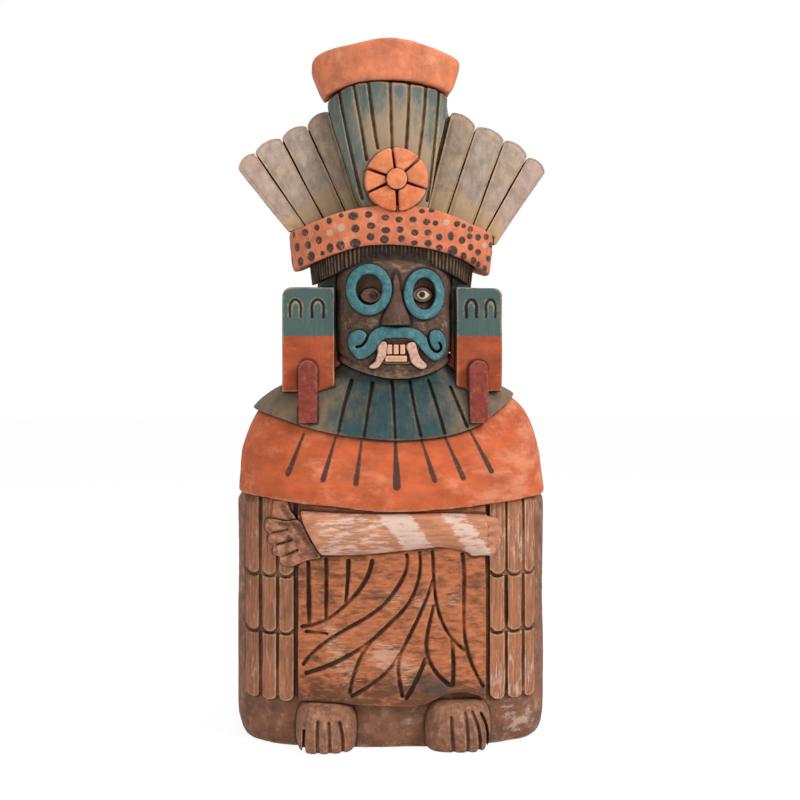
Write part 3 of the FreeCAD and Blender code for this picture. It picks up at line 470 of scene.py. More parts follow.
def plain_coat(name, paint, pale, streak=upright, wear=0.7, start=0.12, **washing_and_seam_shade):
    """Brushed paint, buff edges, dark hollows and painted shade along the seams."""
    coat = Coat(name)
    coat.paint(paint, pale, streak)
    coat.wear("buff", start=start, full=start + 0.3, amount=wear)
    coat.wash("stain_and_seam_shade", **washing_and_seam_shade)
    return coat.done(streak=streak)


# Pieces

class FigureOperator(bpy.types.Operator):
    """Base of the operators that each make some pieces of the figure"""
    bl_options = {"REGISTER", "UNDO"}


class FIGURE_OT_body(FigureOperator):
    """Hollow body with its plinth band, and the neck inside it"""
    bl_idname = "figure.body"
    bl_label = "Body"

    pale_clay = (187.5, 157.9, 139.5)
    white_corner = (520, 722, 13)

    def execute(self, context):
        coat = Coat("Brushed terracotta")
        coat.paint("clay", self.pale_clay, (1.2, 1.2, 1.5), size=6.0, spread=0.24)
        coat.scumble("dark_clay", 9.0, 0.46, 0.62, 0.75, (2.0, 2.0, 1.0))
        coat.scumble("slip", 5.0, 0.67, 0.76, 0.4, (1.8, 1.8, 0.8), shift=12,
                     where=coat.noted("slip", 0.24))
        coat.wear("buff", 0.06, 0.3, 0.6)
        coat.wash("stain_and_seam_shade", grime=0.35, seam_shade_amount=0.65)
        material = coat.done(0.5, (3.0, 1.0, 0.6))
        body = Clay("body", sizes().coarse_grain, rounding=1.2, nodes=["body_shell"])
        body.dent(1)
        body.note("slip", near_spots(body.points, [self.white_corner], ahead=40) * (body.points[:, 1] < 0))
        body.finish(material)
        neck = Clay("neck", sizes().coarse_grain, rounding=0.8, nodes=["neck_post"])
        neck.finish(material)
        return {"FINISHED"}


class FIGURE_OT_robe(FigureOperator):
    """Pleated robe with worn white slip"""
    bl_idname = "figure.robe"
    bl_label = "Robe"

    patches = ((335, 648, 9.6), (345, 672, 10.8), (380, 655, 9.0), (410, 670, 12.0), (388, 652, 7.2),
               (330, 628, 5.4), (424, 604, 7.2), (395, 600, 8.4), (452, 600, 6.6))
    shade_run = ((425, 683), (440, 688))

    def execute(self, context):
        robe = Clay("robe", sizes().medium_grain, rounding=0.6, nodes=["robe_panel"])
        robe.dent(3, 0.7)
        robe.note("slip", np.clip(near_spots(robe.points, self.patches, ahead=53), 0, 1.2))
        shade = step_between(line_distance(robe.points, seen_run(self.shade_run, 54)), 9 * MM, 3 * MM)
        robe.note("shade", shade * (robe.points[:, 1] < 0))
        height, place = robe.points[:, 2] / MM, robe.points[:, 0] / MM
        dim = step_between(height, 50, 28)
        dim += 0.6 * step_between(place, -24, -48) * step_between(height, 80, 105)
        robe.note("dim", np.clip(dim, 0, 1))
        coat = Coat("Worn robe wash")
        coat.paint("robe", (214, 136, 94), (2.6, 1.0, 0.6), size=3.4)
        coat.scumble("dark_clay", 8.0, 0.52, 0.68, 0.75, (2.2, 1.0, 0.8))
        coat.scumble((84, 56, 40), 5.0, 0.46, 0.7, 0.85, (2.2, 1.0, 0.8), shift=41,
                     where=coat.noted("dim", 0.2))
        worn = coat.swing(coat.noted("slip"), 0.22)
        coat.scumble((206, 164, 138), 2.0, 0.55, 0.7, 0.72, (3.4, 1.0, 0.45), shift=8, where=worn)
        coat.cover((74, 66, 58), coat.noted("shade"), 0.75)
        coat.wear((206, 150, 112), 0.2, 0.6, 0.4)
        coat.wash("stain_and_seam_shade", start=0.06, full=0.4, grime=0.3, seam_reach=1.8, seam_shade_amount=0.7)
        robe.finish(coat.done(0.6, (2.8, 1.0, 0.5)))
        return {"FINISHED"}


class FIGURE_OT_wings(FigureOperator):
    """Feathered slabs on each side of the robe"""
    bl_idname = "figure.wings"
    bl_label = "Wings"

    rows = ((27, 66), (66, 99), (99, 150))      # heights of the feather rows, in millimetres

    def execute(self, context):
        coat = Coat("Worn wing wash")
        coat.paint((178, 116, 82), (206, 158, 128), upright, size=3.0)
        coat.scumble("slip", 3.0, 0.58, 0.7, 0.55, (0.8, 1.0, 4.0), shift=8,
                     where=coat.noted("slip", 0.07))
        coat.scumble("dark_clay", 7.0, 0.54, 0.7, 0.45, (1.0, 1.0, 2.0), shift=21)
        coat.wear("buff", 0.14, 0.42, 0.5)
        coat.wash("stain_and_seam_shade", start=0.08, full=0.5, grime=0.3)
        material = coat.done(0.5, upright)
        for side in ("left", "right"):
            wing = Clay("wing_" + side, sizes().fine_grain, rounding=0.45)
            height = wing.points[:, 2]
            step = np.zeros(len(height))
            for low, high in self.rows:
                inside = (height > low * MM) & (height <= high * MM)
                step[inside] = sizes().layer_step * step_between(height, low * MM, high * MM)[inside]
            facing = read_normals(wing.mesh)[:, 1] < 0.3
            wing.points[:, 1] += np.where(facing, step, 0.0)
            write_points(wing.mesh, wing.points)
            wing.dent(5, 0.6)
            height = wing.points[:, 2] / MM
            ends = step_between(height, 96, 120) + step_between(height, 62, 40)
            wing.note("slip", ends * (1.0 if side == "right" else 0.35))
            wing.finish(material)
        return {"FINISHED"}


class FIGURE_OT_cape(FigureOperator):
    """Orange cape with painted strokes along its upper edge"""
    bl_idname = "figure.cape"
    bl_label = "Cape"

    # upper and lower ends across and up, and half-width, in millimetres
    strokes = ((-53.3, 182.7, -62.6, 159.6, 1.3), (-35.0, 180.9, -42.4, 156.6, 1.3),
               (-20.1, 178.7, -23.5, 154.5, 1.3), (-0.6, 178.1, 0.0, 152.9, 1.9),
               (14.4, 179.8, 21.9, 156.3, 1.3), (28.2, 181.5, 38.7, 157.5, 1.3),
               (43.1, 184.8, 55.6, 160.9, 1.3))

    def execute(self, context):
        cape = Clay("cape", sizes().broad_grain, rounding=1.0)
        cape.dent(7)
        height = cape.points[:, 2] / MM
        cape.note("stroke", front_lines(cape.points, [
            (((top_x * MM, top_z * MM), (foot_x * MM, foot_z * MM)),
             half * (0.55 + 0.65 * step_between(height, top_z, foot_z)))
            for top_x, top_z, foot_x, foot_z, half in self.strokes]))
        cape.note("across", cape.points[:, 0] / MM)
        coat = Coat("Brushed orange cape")
        coat.paint("orange", "pale_orange", (2.0, 2.0, 1.2), size=9.0, spread=0.25)
        coat.scumble((146, 84, 60), 22.0, 0.52, 0.74, 0.6, (1.5, 1.5, 1.0))
        coat.scumble((126, 96, 82), 15.0, 0.6, 0.78, 0.5, (1.2, 1.2, 1.0), shift=33)
        across = coat.noted("across")
        # Painted highlight: the right side of the cape, towards the key light, brushed paler
        coat.scumble((232, 158, 124), 12.0, 0.56, 0.8, 0.55, (2.5, 2.0, 0.8), shift=14,
                     where=coat.times(coat.ramp(across, 25.0, 75.0), 0.16))
        coat.scumble((112, 92, 86), 12.0, 0.66, 0.84, 0.5, (1.2, 1.2, 1.0), shift=45,
                     where=coat.times(coat.ramp(across, -45.0, -80.0), 0.12))
        coat.mark("stroke", (64, 46, 40), soft=0.45, wobble=0.8, amount=0.95)
        coat.wear("buff", 0.14, 0.45, 0.45)
        coat.wash("stain_and_seam_shade", grime=0.15, seam_reach=2.2)
        cape.finish(coat.done(0.45, (2.0, 2.0, 0.8)))
        return {"FINISHED"}


class FIGURE_OT_collar(FigureOperator):
    """Ribbed teal collar, worn to buff at the sides"""
    bl_idname = "figure.collar"
    bl_label = "Collar"

    # lower ends of the grooves, painted on to the edge: across and up, in millimetres
    groove_feet = ((-33.4, 183.7, -35.6, 176.0), (-18.7, 181.0, -20.2, 176.0), (-0.8, 180.0, -0.6, 176.0),
                   (14.3, 181.2, 15.8, 176.0), (28.2, 182.5, 30.3, 177.0), (41.8, 186.1, 44.3, 179.0))
    groove_half = 0.6

    def execute(self, context):
        collar = Clay("collar", sizes().medium_grain, rounding=0.55)
        collar.dent(9, 0.6)
        collar.note("side", np.abs(collar.points[:, 0]) / MM)
        collar.note("line", front_lines(collar.points, [
            (((top_x * MM, top_z * MM), (foot_x * MM, foot_z * MM)), self.groove_half)
            for top_x, top_z, foot_x, foot_z in self.groove_feet]))
        coat = Coat("Brushed teal collar")
        coat.paint("teal", (74, 94, 92), upright, size=6.0, spread=0.28)
        outward = coat.times(coat.ramp(coat.noted("side"), 16.0, 50.0), 0.34)
        coat.scumble((138, 112, 86), 14.0, 0.48, 0.98, 0.9, (0.8, 0.8, 2.0), shift=8, where=outward)
        coat.scumble((150, 134, 108), 5.0, 0.62, 0.86, 0.3, (0.8, 0.8, 2.0), shift=28)
        coat.mark("line", (40, 34, 30), soft=0.3, wobble=0.4, amount=0.9, wear=0.2)
        coat.wear((158, 134, 106), 0.18, 0.5, 0.35)
        coat.wash("stain_and_seam_shade", start=0.06, full=0.4, grime=0.25)
        collar.finish(coat.done(0.5, upright))
        return {"FINISHED"}


class FIGURE_OT_arms(FigureOperator):
    """Crossed forearm, both hands and the cuff"""
    bl_idname = "figure.arms"
    bl_label = "Arms and hands"

    # white patches between two slanting edges, in millimetres across
    patches = ((-2.0, 17.0), (33.0, 48.0))
    # runs seen from the front, each with its half-width in millimetres: the first is a painted shade strip
    # along the forearm's end over the rear hand, the other two are stains
    shade_strip_and_stains = ((((283, 507), (319, 555)), 1.7), (((280, 522), (289, 524)), 1.1),
              (((289, 537), (298, 540)), 1.3))

    def execute(self, context):
        coat = Coat("Worn white slip")
        coat.paint((208, 140, 106), (224, 166, 136), (4.0, 1.0, 0.7), size=4.0)
        patch = coat.times(coat.maths("SUBTRACT", coat.noted("slip"), 0.4), 0.24)
        coat.scumble((222, 194, 178), 3.2, 0.5, 0.64, 0.85, (3.4, 1.0, 0.6), shift=8, where=patch)
        # Painted shade: the rear hand, behind the forearm, brushed darker
        coat.scumble((116, 74, 52), 4.0, 0.62, 0.8, 0.8, (2.0, 1.0, 1.0), shift=37,
                     where=coat.noted("rear", 0.2))
        # Painted shade strip at the forearm's end, and two stains, on the rear hand
        coat.mark("stain_and_seam_shade", (70, 48, 38), soft=1.1, wobble=1.6, amount=0.7, wear=0.4)
        coat.scumble((120, 78, 56), 3.0, 0.6, 0.7, 0.6, (3.0, 1.0, 0.7), shift=27)
        coat.wear((216, 178, 154), 0.24, 0.6, 0.35)
        coat.wash("stain_and_seam_shade", start=0.1, full=0.5, grime=0.15, seam_reach=1.6)
        material = coat.done(0.5, (3.0, 1.0, 0.7))
        for name, nodes, rounding in (("forearm", ["front_forearm", "front_hand"], 0.7),
                                      ("rear_hand", ["rear_hand"], 0.6), ("cuff", ["rear_cuff"], 0.6)):
            arm = Clay(name, sizes().fine_grain, rounding, nodes)
            arm.dent(11, 0.6)
            place = arm.points[:, 0] / MM
            slant = place + 0.7 * (arm.points[:, 2] / MM - 125)
            slip = 0.55 * step_between(place, -54, -40) * step_between(place, 4, -8)
            for start, end in self.patches:
                slip += step_between(slant, start - 2, start + 3) * step_between(slant, end + 2, end - 3)
            arm.note("slip", slip)
            # 1 on the rear hand, where its painted shade goes
            arm.note("rear", np.full(len(place), float(name == "rear_hand")))
            runs = [] if name == "forearm" else [(seen_run(run, 45), half) for run, half in self.shade_strip_and_stains]
            arm.note("stain_and_seam_shade", front_lines(arm.points, runs))
            arm.finish(material)
        return {"FINISHED"}


class FIGURE_OT_feet(FigureOperator):
    """Two broad feet with tall toes"""
    bl_idname = "figure.feet"
    bl_label = "Feet"

    def execute(self, context):
        coat = Coat("Brushed clay feet")
        coat.paint((160, 110, 84), (200, 154, 126), (1.0, 1.0, 1.6), size=3.0)
        coat.scumble("dark_clay", 5.0, 0.5, 0.64, 0.7)
        coat.wear((206, 168, 142), 0.16, 0.5, 0.6)
        coat.wash("stain_and_seam_shade", start=0.08, full=0.6, grime=0.35)
        material = coat.done(0.6)
        for side in ("left", "right"):
            foot = Clay("foot_" + side, sizes().fine_grain, rounding=1.05)
            foot.dent(13, 0.8)
            foot.finish(material)
        return {"FINISHED"}


class FIGURE_OT_head(FigureOperator):
    """Dark face block, with brushed buff on the brow and cheeks"""
    bl_idname = "figure.head"
    bl_label = "Head"

    patches = ((375, 262, 5.4), (398, 268, 4.8), (425, 263, 5.4), (345, 322, 5.4), (446, 322, 5.4),
               (372, 322, 4.2), (420, 326, 4.2), (396, 372, 6.0))

    def execute(self, context):
        head = Clay("head", 0.7 * MM, rounding=0.8, nodes=["head_shell"])
        head.dent(15, 0.6)
        glow = np.clip(near_spots(head.points, self.patches, ahead=46), 0, 1)
        head.note("buff", glow * (head.points[:, 1] < 0))
        coat = Coat("Dark face paint")
        coat.paint("face", (132, 102, 84), (1.0, 1.0, 1.2), size=2.4)
        coat.scumble((62, 46, 42), 6.0, 0.52, 0.68, 0.5, shift=19)
        coat.scumble((166, 134, 106), 3.2, 0.56, 0.74, 0.65, (1.8, 1.0, 0.9),
                     where=coat.noted("buff", 0.13))
        coat.wear((170, 140, 112), 0.14, 0.45, 0.6)
        coat.wash((34, 24, 20), start=0.08, full=0.5, grime=0.3)
        head.finish(coat.done(0.5))
        return {"FINISHED"}


class FIGURE_OT_goggles(FigureOperator):
    """Round rings about the eyes"""
    bl_idname = "figure.goggles"
    bl_label = "Goggles"

    def execute(self, context):
        material = plain_coat("Bright teal rings", "bright_teal", (116, 164, 164),
                              (1, 1, 1), wear=0.45, start=0.45, seam_reach=1.0, grime=0.15)
        for side in ("left", "right"):
            ring = Clay("goggle_" + side, sizes().small_grain, rounding=1.3)
            ring.dent(17, 0.5)
            ring.finish(material)
        return {"FINISHED"}


class FIGURE_OT_eyes(FigureOperator):
    """Painted eyes between heavy lids"""
    bl_idname = "figure.eyes"
    bl_label = "Eyes"

    # in millimetres, and each eye's side, middle pixel of the iris and half-height of the white
    half_width, iris_radius, pupil_radius = 4.2, 1.9, 1.1
    views = (("left", (371.5, 295.5), 1.9), ("right", (422.0, 294.6), 2.4))

    def execute(self, context):
        coat = Coat("Painted eye", roughness=0.6)
        coat.paint((118, 84, 66), (150, 116, 94), size=1.5)
        coat.mark("white", (226, 206, 186), soft=0.2, wobble=0.3, wear=0.2)
        coat.mark("iris", (70, 46, 36), soft=0.15, wobble=0.2, wear=0.1)
        coat.mark("pupil", (20, 14, 12), soft=0.1, wobble=0.1, wear=0.0)
        coat.wash((40, 28, 22), start=0.1, full=0.4, seam_reach=0.6, grime=0.1)
        material = coat.done(0.3)
        for side, centre, white in self.views:
            eye = Clay("eye_" + side, 0.22 * MM, rounding=0.22)
            low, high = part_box("eye_" + side)
            middle = (Vector(low) + Vector(high)) / 2
            spot = seen(*centre, 44)
            flat = eye.points[:, (0, 2)]
            lens = np.abs(flat - np.array((middle.x, middle.z))) / MM
            cream = white * (1 - (lens[:, 0] / self.half_width) ** 2) - lens[:, 1]
            eye.note("white", cream if side == "right" else np.full(len(cream), outside))
            gap = np.linalg.norm(flat - np.array(spot), axis=1) / MM
            inside = cream + 0.2
            eye.note("iris", np.minimum(self.iris_radius - gap, inside))
            eye.note("pupil", np.minimum(self.pupil_radius - gap, inside))
            eye.finish(material)
        return {"FINISHED"}


class FIGURE_OT_mouth(FigureOperator):
    """Nose, curled lip, gum, teeth and fangs"""
    bl_idname = "figure.mouth"
    bl_label = "Nose and mouth"

    def execute(self, context):
        skin = plain_coat("Dark nose paint", (96, 72, 60), (140, 108, 88), (1, 1, 1.4),
                          wear=0.6, start=0.25, seam_reach=1.2)
        nose = Clay("nose", sizes().small_grain, rounding=1.3)
        nose.finish(skin)
        teal = plain_coat("Bright teal lip", "bright_teal", (120, 160, 156), (1, 1, 1),
                          wear=0.6, start=0.4, seam_reach=1.0, grime=0.15)
        lip = Clay("lip", 0.32 * MM, rounding=0.8, nodes=["moustache_lip"])
        lip.finish(teal)
        dark = plain_coat("Dark gum paint", (98, 64, 52), (122, 84, 66), (1, 1, 1))
        Clay("gum", 0.3 * MM, rounding=0.3, nodes=["gum_plate"]).finish(dark)
        coat = Coat("Pale tooth paint", roughness=0.7)
        coat.paint("tooth", (234, 184, 154), size=2.0)
        coat.wear((238, 194, 164), 0.1, 0.3, 0.5)
        coat.wash((120, 70, 54), start=0.1, full=0.4, seam_reach=0.7, seam_shade_amount=0.7, grime=0.1)
        tooth = coat.done(0.35)
        coat = Coat("Pale fang paint", roughness=0.7)
        coat.paint((222, 176, 156), (238, 206, 192), size=2.0)
        coat.wash((120, 70, 54), start=0.1, full=0.4, seam_reach=0.8, seam_shade_amount=0.7, grime=0.1)
        fang = coat.done(0.35)
        for node, paint in (("upper_teeth", tooth), ("lower_teeth", tooth), ("fang_left", fang),
                            ("fang_right", fang)):
            Clay(node, 0.25 * MM, rounding=0.35).finish(paint)
        return {"FINISHED"}


class FIGURE_OT_hair(FigureOperator):
    """Fringe of fine upright ribs under the headband"""
    bl_idname = "figure.hair"
    bl_label = "Hair"

    def execute(self, context):
        hair = Clay("hair", sizes().fine_grain, rounding=0.5, nodes=["hair_fringe"])
        turn = np.arctan2(hair.points[:, 0], -hair.points[:, 1])
        along = turn * 53 * MM + 0.5 * MM * unevenness(hair.points * (1, 1, 0.2), 9 * MM, 19)
        wave = np.cos(2 * math.pi * along / sizes().rib_pitch)
        cut = step_between(wave, 0.2, 1.0)
        outer = np.abs(read_normals(hair.mesh)[:, 2]) < 0.6
        hair.press(np.where(outer, -sizes().rib_depth * cut, 0.0))
        hair.note("rib", np.where(outer, 1.0 - step_between(wave, -0.5, 0.7), 0.0))
        coat = Coat("Dark ribbed hair")
        coat.paint("hair", (112, 90, 72), upright)
        coat.scumble((134, 106, 82), 2.6, 0.64, 0.84, 0.65, (1, 1, 3.0),
                     where=coat.noted("rib", 0.25))
        coat.cover((34, 24, 18), coat.maths("SUBTRACT", 1.0, coat.noted("rib")), 0.82)
        coat.wash("stain_and_seam_shade", start=0.2, full=0.6, seam_reach=1.2)
        hair.finish(coat.done(0.4, upright), relief_radius=0.9)
        return {"FINISHED"}


class FIGURE_OT_headband(FigureOperator):
    """Orange headband with painted spots"""
    bl_idname = "figure.headband"
    bl_label = "Headband"

    # across, down, half-width and half-height, as seen from the front
    spots = (
        (294, 235, 1.3, 3.2), (305.3, 232.7, 3.2, 3.5), (317, 228, 2.6, 3.2), (329.1, 221, 2.8, 3.4),
        (341.2, 215.5, 2.6, 2.4), (353.2, 216.2, 5.2, 4.2), (368.5, 214.7, 4.0, 3.4),
        (385.4, 217.6, 4.0, 3.0), (399, 219.5, 3.8, 3.2), (413, 219.5, 3.8, 3.2), (426.6, 221.8, 3.8, 3.2),
        (422, 211, 3.2, 2.4), (431.7, 210.3, 3.4, 2.4), (435.7, 223, 3.0, 2.8), (457.3, 223.7, 3.4, 3.2),
        (464, 225.6, 2.4, 2.4), (470.5, 229, 2.8, 3.0), (297.4, 247.4, 2.4, 4.6), (308.2, 245.3, 3.0, 4.0),
        (319, 240.4, 3.0, 4.0), (355.4, 228.6, 4.2, 4.2), (371.1, 225.7, 4.4, 3.4),
        (385.8, 230.2, 4.6, 3.4), (400, 229.4, 3.6, 3.4), (415, 232.5, 3.8, 3.2), (428, 232.5, 3.8, 3.2),
        (439.4, 237, 3.4, 3.6), (451, 236, 3.0, 4.6), (462.3, 240, 3.4, 3.8), (470, 236, 2.8, 3.0),
        (478.4, 237, 3.0, 3.4), (486.7, 236.7, 2.6, 3.2), (491, 244.7, 2.0, 3.0), (300.7, 261.6, 2.8, 4.6),
        (311.4, 256.6, 3.6, 5.0), (322.5, 253.4, 2.4, 2.5), (330.1, 247.9, 3.5, 4.8),
        (340.5, 245.5, 4.4, 4.9), (355.4, 243.2, 5.4, 4.7), (370.5, 236.8, 4.1, 3.7),
        (384.3, 239.4, 4.6, 4.2), (401.5, 238.6, 3.8, 3.6), (414.3, 242.8, 3.8, 2.6),
        (428.3, 243.2, 3.8, 3.4), (439.4, 247.4, 3.4, 3.2), (452.8, 250.5, 5.0, 5.0),
        (463.8, 255.8, 3.2, 4.0), (473.8, 260.4, 3.0, 3.6), (470.7, 247, 3.0, 3.4), (478.6, 263.8, 2.4, 3.0),
        (478.4, 252, 3.0, 3.4), (493.3, 253.5, 2.0, 3.4), (488.7, 258.5, 2.4, 3.2), (485.3, 268, 2.2, 3.0))
    pale_spots = ((329.7, 232.9, 3.2, 3.2), (341.2, 227.5, 3.6, 3.6), (446.6, 222, 3.4, 3.0),
                  (485, 245, 2.6, 2.8))
    # rows of spots round the back: their heights about the middle, in metres and millimetres
    back_middle, back_rows = 304 * MM, (-7.5, 0.0, 7.5)

    def spread(self, band, table):
        """How far inside its nearest spot each point of the band's front lies, in millimetres."""
        ahead = -band.points[:, 1]
        step = (view_distance - ahead / MM) / view_scale
        across = view_middle[0] + (band.points[:, 0] / MM - ahead / MM * math.sin(view_turn)) / step
        down = view_middle[1] + (view_height - band.points[:, 2] / MM) / step
        best = np.full(len(across), outside)
        for spot_x, spot_y, half_x, half_y in table:
            gap = np.hypot((across - spot_x) / half_x, (down - spot_y) / half_y)
            best = np.maximum(best, (1 - gap) * min(half_x, half_y) * 0.6)
        return np.where(ahead > 10 * MM, best, outside)

    def execute(self, context):
        band = Clay("band", sizes().medium_grain, rounding=2.4, nodes=["headband"])
        band.dent(21, 0.8)
        best = self.spread(band, self.spots)
        turn = np.arctan2(band.points[:, 0], band.points[:, 1])
        random = np.random.default_rng(4)
        front_low = -np.abs(band.points[:, 0]) * 0.35
        for row, height in enumerate(self.back_rows):
            for place in range(-14, 15):
                angle = (place + 0.5 * (row % 2) + random.uniform(-0.12, 0.12)) * 0.152
                lift = height + random.uniform(-1.0, 1.0)
                drop = (band.points[:, 2] - self.back_middle - front_low * 0.9) / MM - lift
                gap = np.hypot((turn - angle) * 58 / 2.4, drop / 2.3)
                best = np.where(band.points[:, 1] > -14 * MM, np.maximum(best, (1 - gap) * 2.2), best)
        band.note("spot", best)
        band.note("pale_spot", self.spread(band, self.pale_spots))
        coat = Coat("Spotted orange band")
        coat.paint((230, 132, 92), (242, 166, 132), size=7.0, spread=0.25)
        coat.scumble((234, 172, 144), 6.0, 0.58, 0.78, 0.5, shift=14)
        coat.mark("pale_spot", (196, 176, 156), soft=0.4, wobble=0.8, amount=0.8)
        coat.mark("spot", "spot", soft=0.3, wobble=0.6, wear=0.7)
        coat.wear("buff", 0.16, 0.5, 0.55)
        coat.wash("stain_and_seam_shade", grime=0.08, seam_reach=1.4)
        band.finish(coat.done(0.4))
        return {"FINISHED"}


class FIGURE_OT_plumes(FigureOperator):
    """Fan of grey-brown plumes on its back slab"""
    bl_idname = "figure.plumes"
    bl_label = "Plumes"

    def note_root(self, piece):
        """How far each point lies above the band's arched top, in millimetres."""
        rim = 317 - 24 * (piece.points[:, 0] / MM / 60) ** 2
        piece.note("root", piece.points[:, 2] / MM - rim)

    def coat(self, name, paint, pale):
        coat = Coat(name)
        coat.paint(paint, pale, (1, 1, 1.6), size=5.0, spread=0.22)
        coat.scumble((128, 106, 88), 9.0, 0.56, 0.78, 0.5, shift=6)
        coat.scumble((204, 170, 128), 9.0, 0.5, 0.72, 0.75, shift=14,
                     where=coat.times(coat.ramp(coat.noted("root"), 30.0, 8.0), 0.25))
        coat.wear((200, 160, 120), 0.14, 0.45, 0.45)
        coat.wash((112, 72, 42), seam_reach=0.9, seam_shade_amount=0.8, grime=0.12)
        return coat.done(0.5)

    def execute(self, context):
        olive = self.coat("Olive buff plume", "plume", (200, 178, 156))
        grey = self.coat("Grey plume", (190, 168, 152), (206, 186, 168))
        pink = self.coat("Pinkish plume", (196, 170, 156), (212, 188, 174))
        for side in ("left", "right"):
            for number, material in enumerate((olive, grey, grey, pink), 1):
                node = "feather_%s_%d" % (side, number)
                plume = Clay(node, sizes().medium_grain, rounding=0.5)
                inner = soften(plume.points, plume.pairs, plume.grain, 3.0 * MM)
                edge = np.linalg.norm(plume.points - inner, axis=1)
                facing = np.abs(read_normals(plume.mesh)[:, 1]) > 0.5
                fall = sizes().plume_crown * step_between(edge, 0.1 * MM, 1.2 * MM)
                plume.press(np.where(facing, -fall, 0.0))
                plume.dent(23 + number, 0.5)
                self.note_root(plume)
                plume.finish(material)
        back = Clay("fan_back", sizes().broad_grain, rounding=1.0, nodes=["headdress_back"])
        back.dent(29)
        self.note_root(back)
        back.finish(olive)
        return {"FINISHED"}


class FIGURE_OT_crest(FigureOperator):
    """Fluted crest and the cap on it"""
    bl_idname = "figure.crest"
    bl_label = "Crest and cap"

    def execute(self, context):
        crest = Clay("crest", sizes().fine_grain, rounding=0.55, nodes=["crest_panel"])
        crest.dent(31, 0.6)
        middle = np.exp(-((crest.points[:, 0] / MM - 2) / 20) ** 2)
        low = step_between(crest.points[:, 2] / MM, 392, 348)
        crest.note("worn", middle * low)
        coat = Coat("Brushed teal crest")
        coat.paint((104, 120, 115), (134, 142, 132), upright, size=7.0, spread=0.3)
        rubbed = coat.noted("worn", 0.5)
        coat.scumble((176, 148, 118), 14.0, 0.52, 0.84, 0.8, (0.7, 0.7, 1.6), shift=8, where=rubbed)
        coat.scumble((166, 152, 128), 4.0, 0.62, 0.86, 0.3, (0.8, 0.8, 2.0), shift=29)
        coat.wear((182, 148, 108), 0.1, 0.4, 0.75)
        coat.wash((74, 52, 34), start=0.08, full=0.45, grime=0.15)
        crest.finish(coat.done(0.5, upright))
        cap = Clay("cap", 0.9 * MM, rounding=1.9, nodes=["crest_cap"])
        cap.dent(33)
        coat = Coat("Brushed orange cap")
        coat.paint((230, 136, 96), (240, 164, 128), size=9.0, spread=0.25)
        coat.scumble((190, 108, 76), 14.0, 0.56, 0.76, 0.5, shift=6)
        coat.wear("buff", 0.16, 0.5, 0.5)
        coat.wash("stain_and_seam_shade", grime=0.12, seam_reach=2.0)
        cap.finish(coat.done(0.45))
        return {"FINISHED"}


class FIGURE_OT_rosette(FigureOperator):
    """Six-petalled rosette with its button"""
    bl_idname = "figure.rosette"
    bl_label = "Rosette"

    def execute(self, context):
        coat = Coat("Orange rosette paint")
        coat.paint("rosette", (246, 166, 124), size=6.0, spread=0.25)
        # Painted shade: the lower part of the rosette brushed a darker orange
        coat.scumble((204, 90, 46), 10.0, 0.52, 0.74, 0.6, shift=6,
                     where=coat.times(coat.ramp(coat.noted("low"), 0.0, 14.0), 0.16))
        coat.wear((244, 184, 146), 0.25, 0.6, 0.4)
        coat.wash((70, 40, 24), start=0.12, full=0.5, seam_reach=0.8, grime=0.06)
        material = coat.done(0.4)
        for name, node in (("petals", "rosette_petals"), ("button", "rosette_button")):
            piece = Clay(name, sizes().small_grain, rounding=1.1, nodes=[node])
            piece.dent(35, 0.5)
            # how far below 328 millimetres up each point lies, for the rosette's painted shade
            piece.note("low", 328 - piece.points[:, 2] / MM)
            piece.finish(material)
        return {"FINISHED"}


class FIGURE_OT_ears(FigureOperator):
    """Two-coloured ear flares with incised marks, and their red pendants"""
    bl_idname = "figure.ears"
    bl_label = "Ear flares and pendants"

    def execute(self, context):
        coat = Coat("Teal and orange flare")
        coat.paint("flare", (222, 130, 86), (2.0, 1.0, 1.0), size=7.0, spread=0.25)
        coat.scumble((116, 66, 44), 12.0, 0.54, 0.76, 0.6, shift=6)
        coat.mark("upper", (72, 95, 92), soft=0.5, wobble=1.2, wear=0.2)
        coat.scumble((120, 126, 114), 8.0, 0.56, 0.8, 0.45, upright, shift=18)
        coat.wear((190, 152, 116), 0.14, 0.42, 0.6)
        coat.wash("stain_and_seam_shade", start=0.1, full=0.4, grime=0.2)
        material = coat.done(0.45)
        coat = Coat("Dark red pendants")
        coat.paint("red", (172, 96, 80), size=3.0)
        coat.scumble((198, 138, 118), 1.6, 0.64, 0.76, 0.5, shift=7)
        coat.wear((188, 120, 98), 0.2, 0.55, 0.5)
        coat.wash("stain_and_seam_shade", seam_reach=1.6, grime=0.2)
        red = coat.done(0.5)
        for side in ("left", "right"):
            flare = Clay("flare_" + side, 0.42 * MM, rounding=0.6, nodes=["ear_flare_" + side])
            flare.dent(37, 0.7)
            flare.note("upper", flare.points[:, 2] / MM - 239.5)
            flare.finish(material)
            pendant = Clay("pendant_" + side, sizes().fine_grain, rounding=1.0, nodes=["ear_pendant_" + side])
            pendant.dent(39, 0.7)
            pendant.finish(red)
        return {"FINISHED"}


# Stage

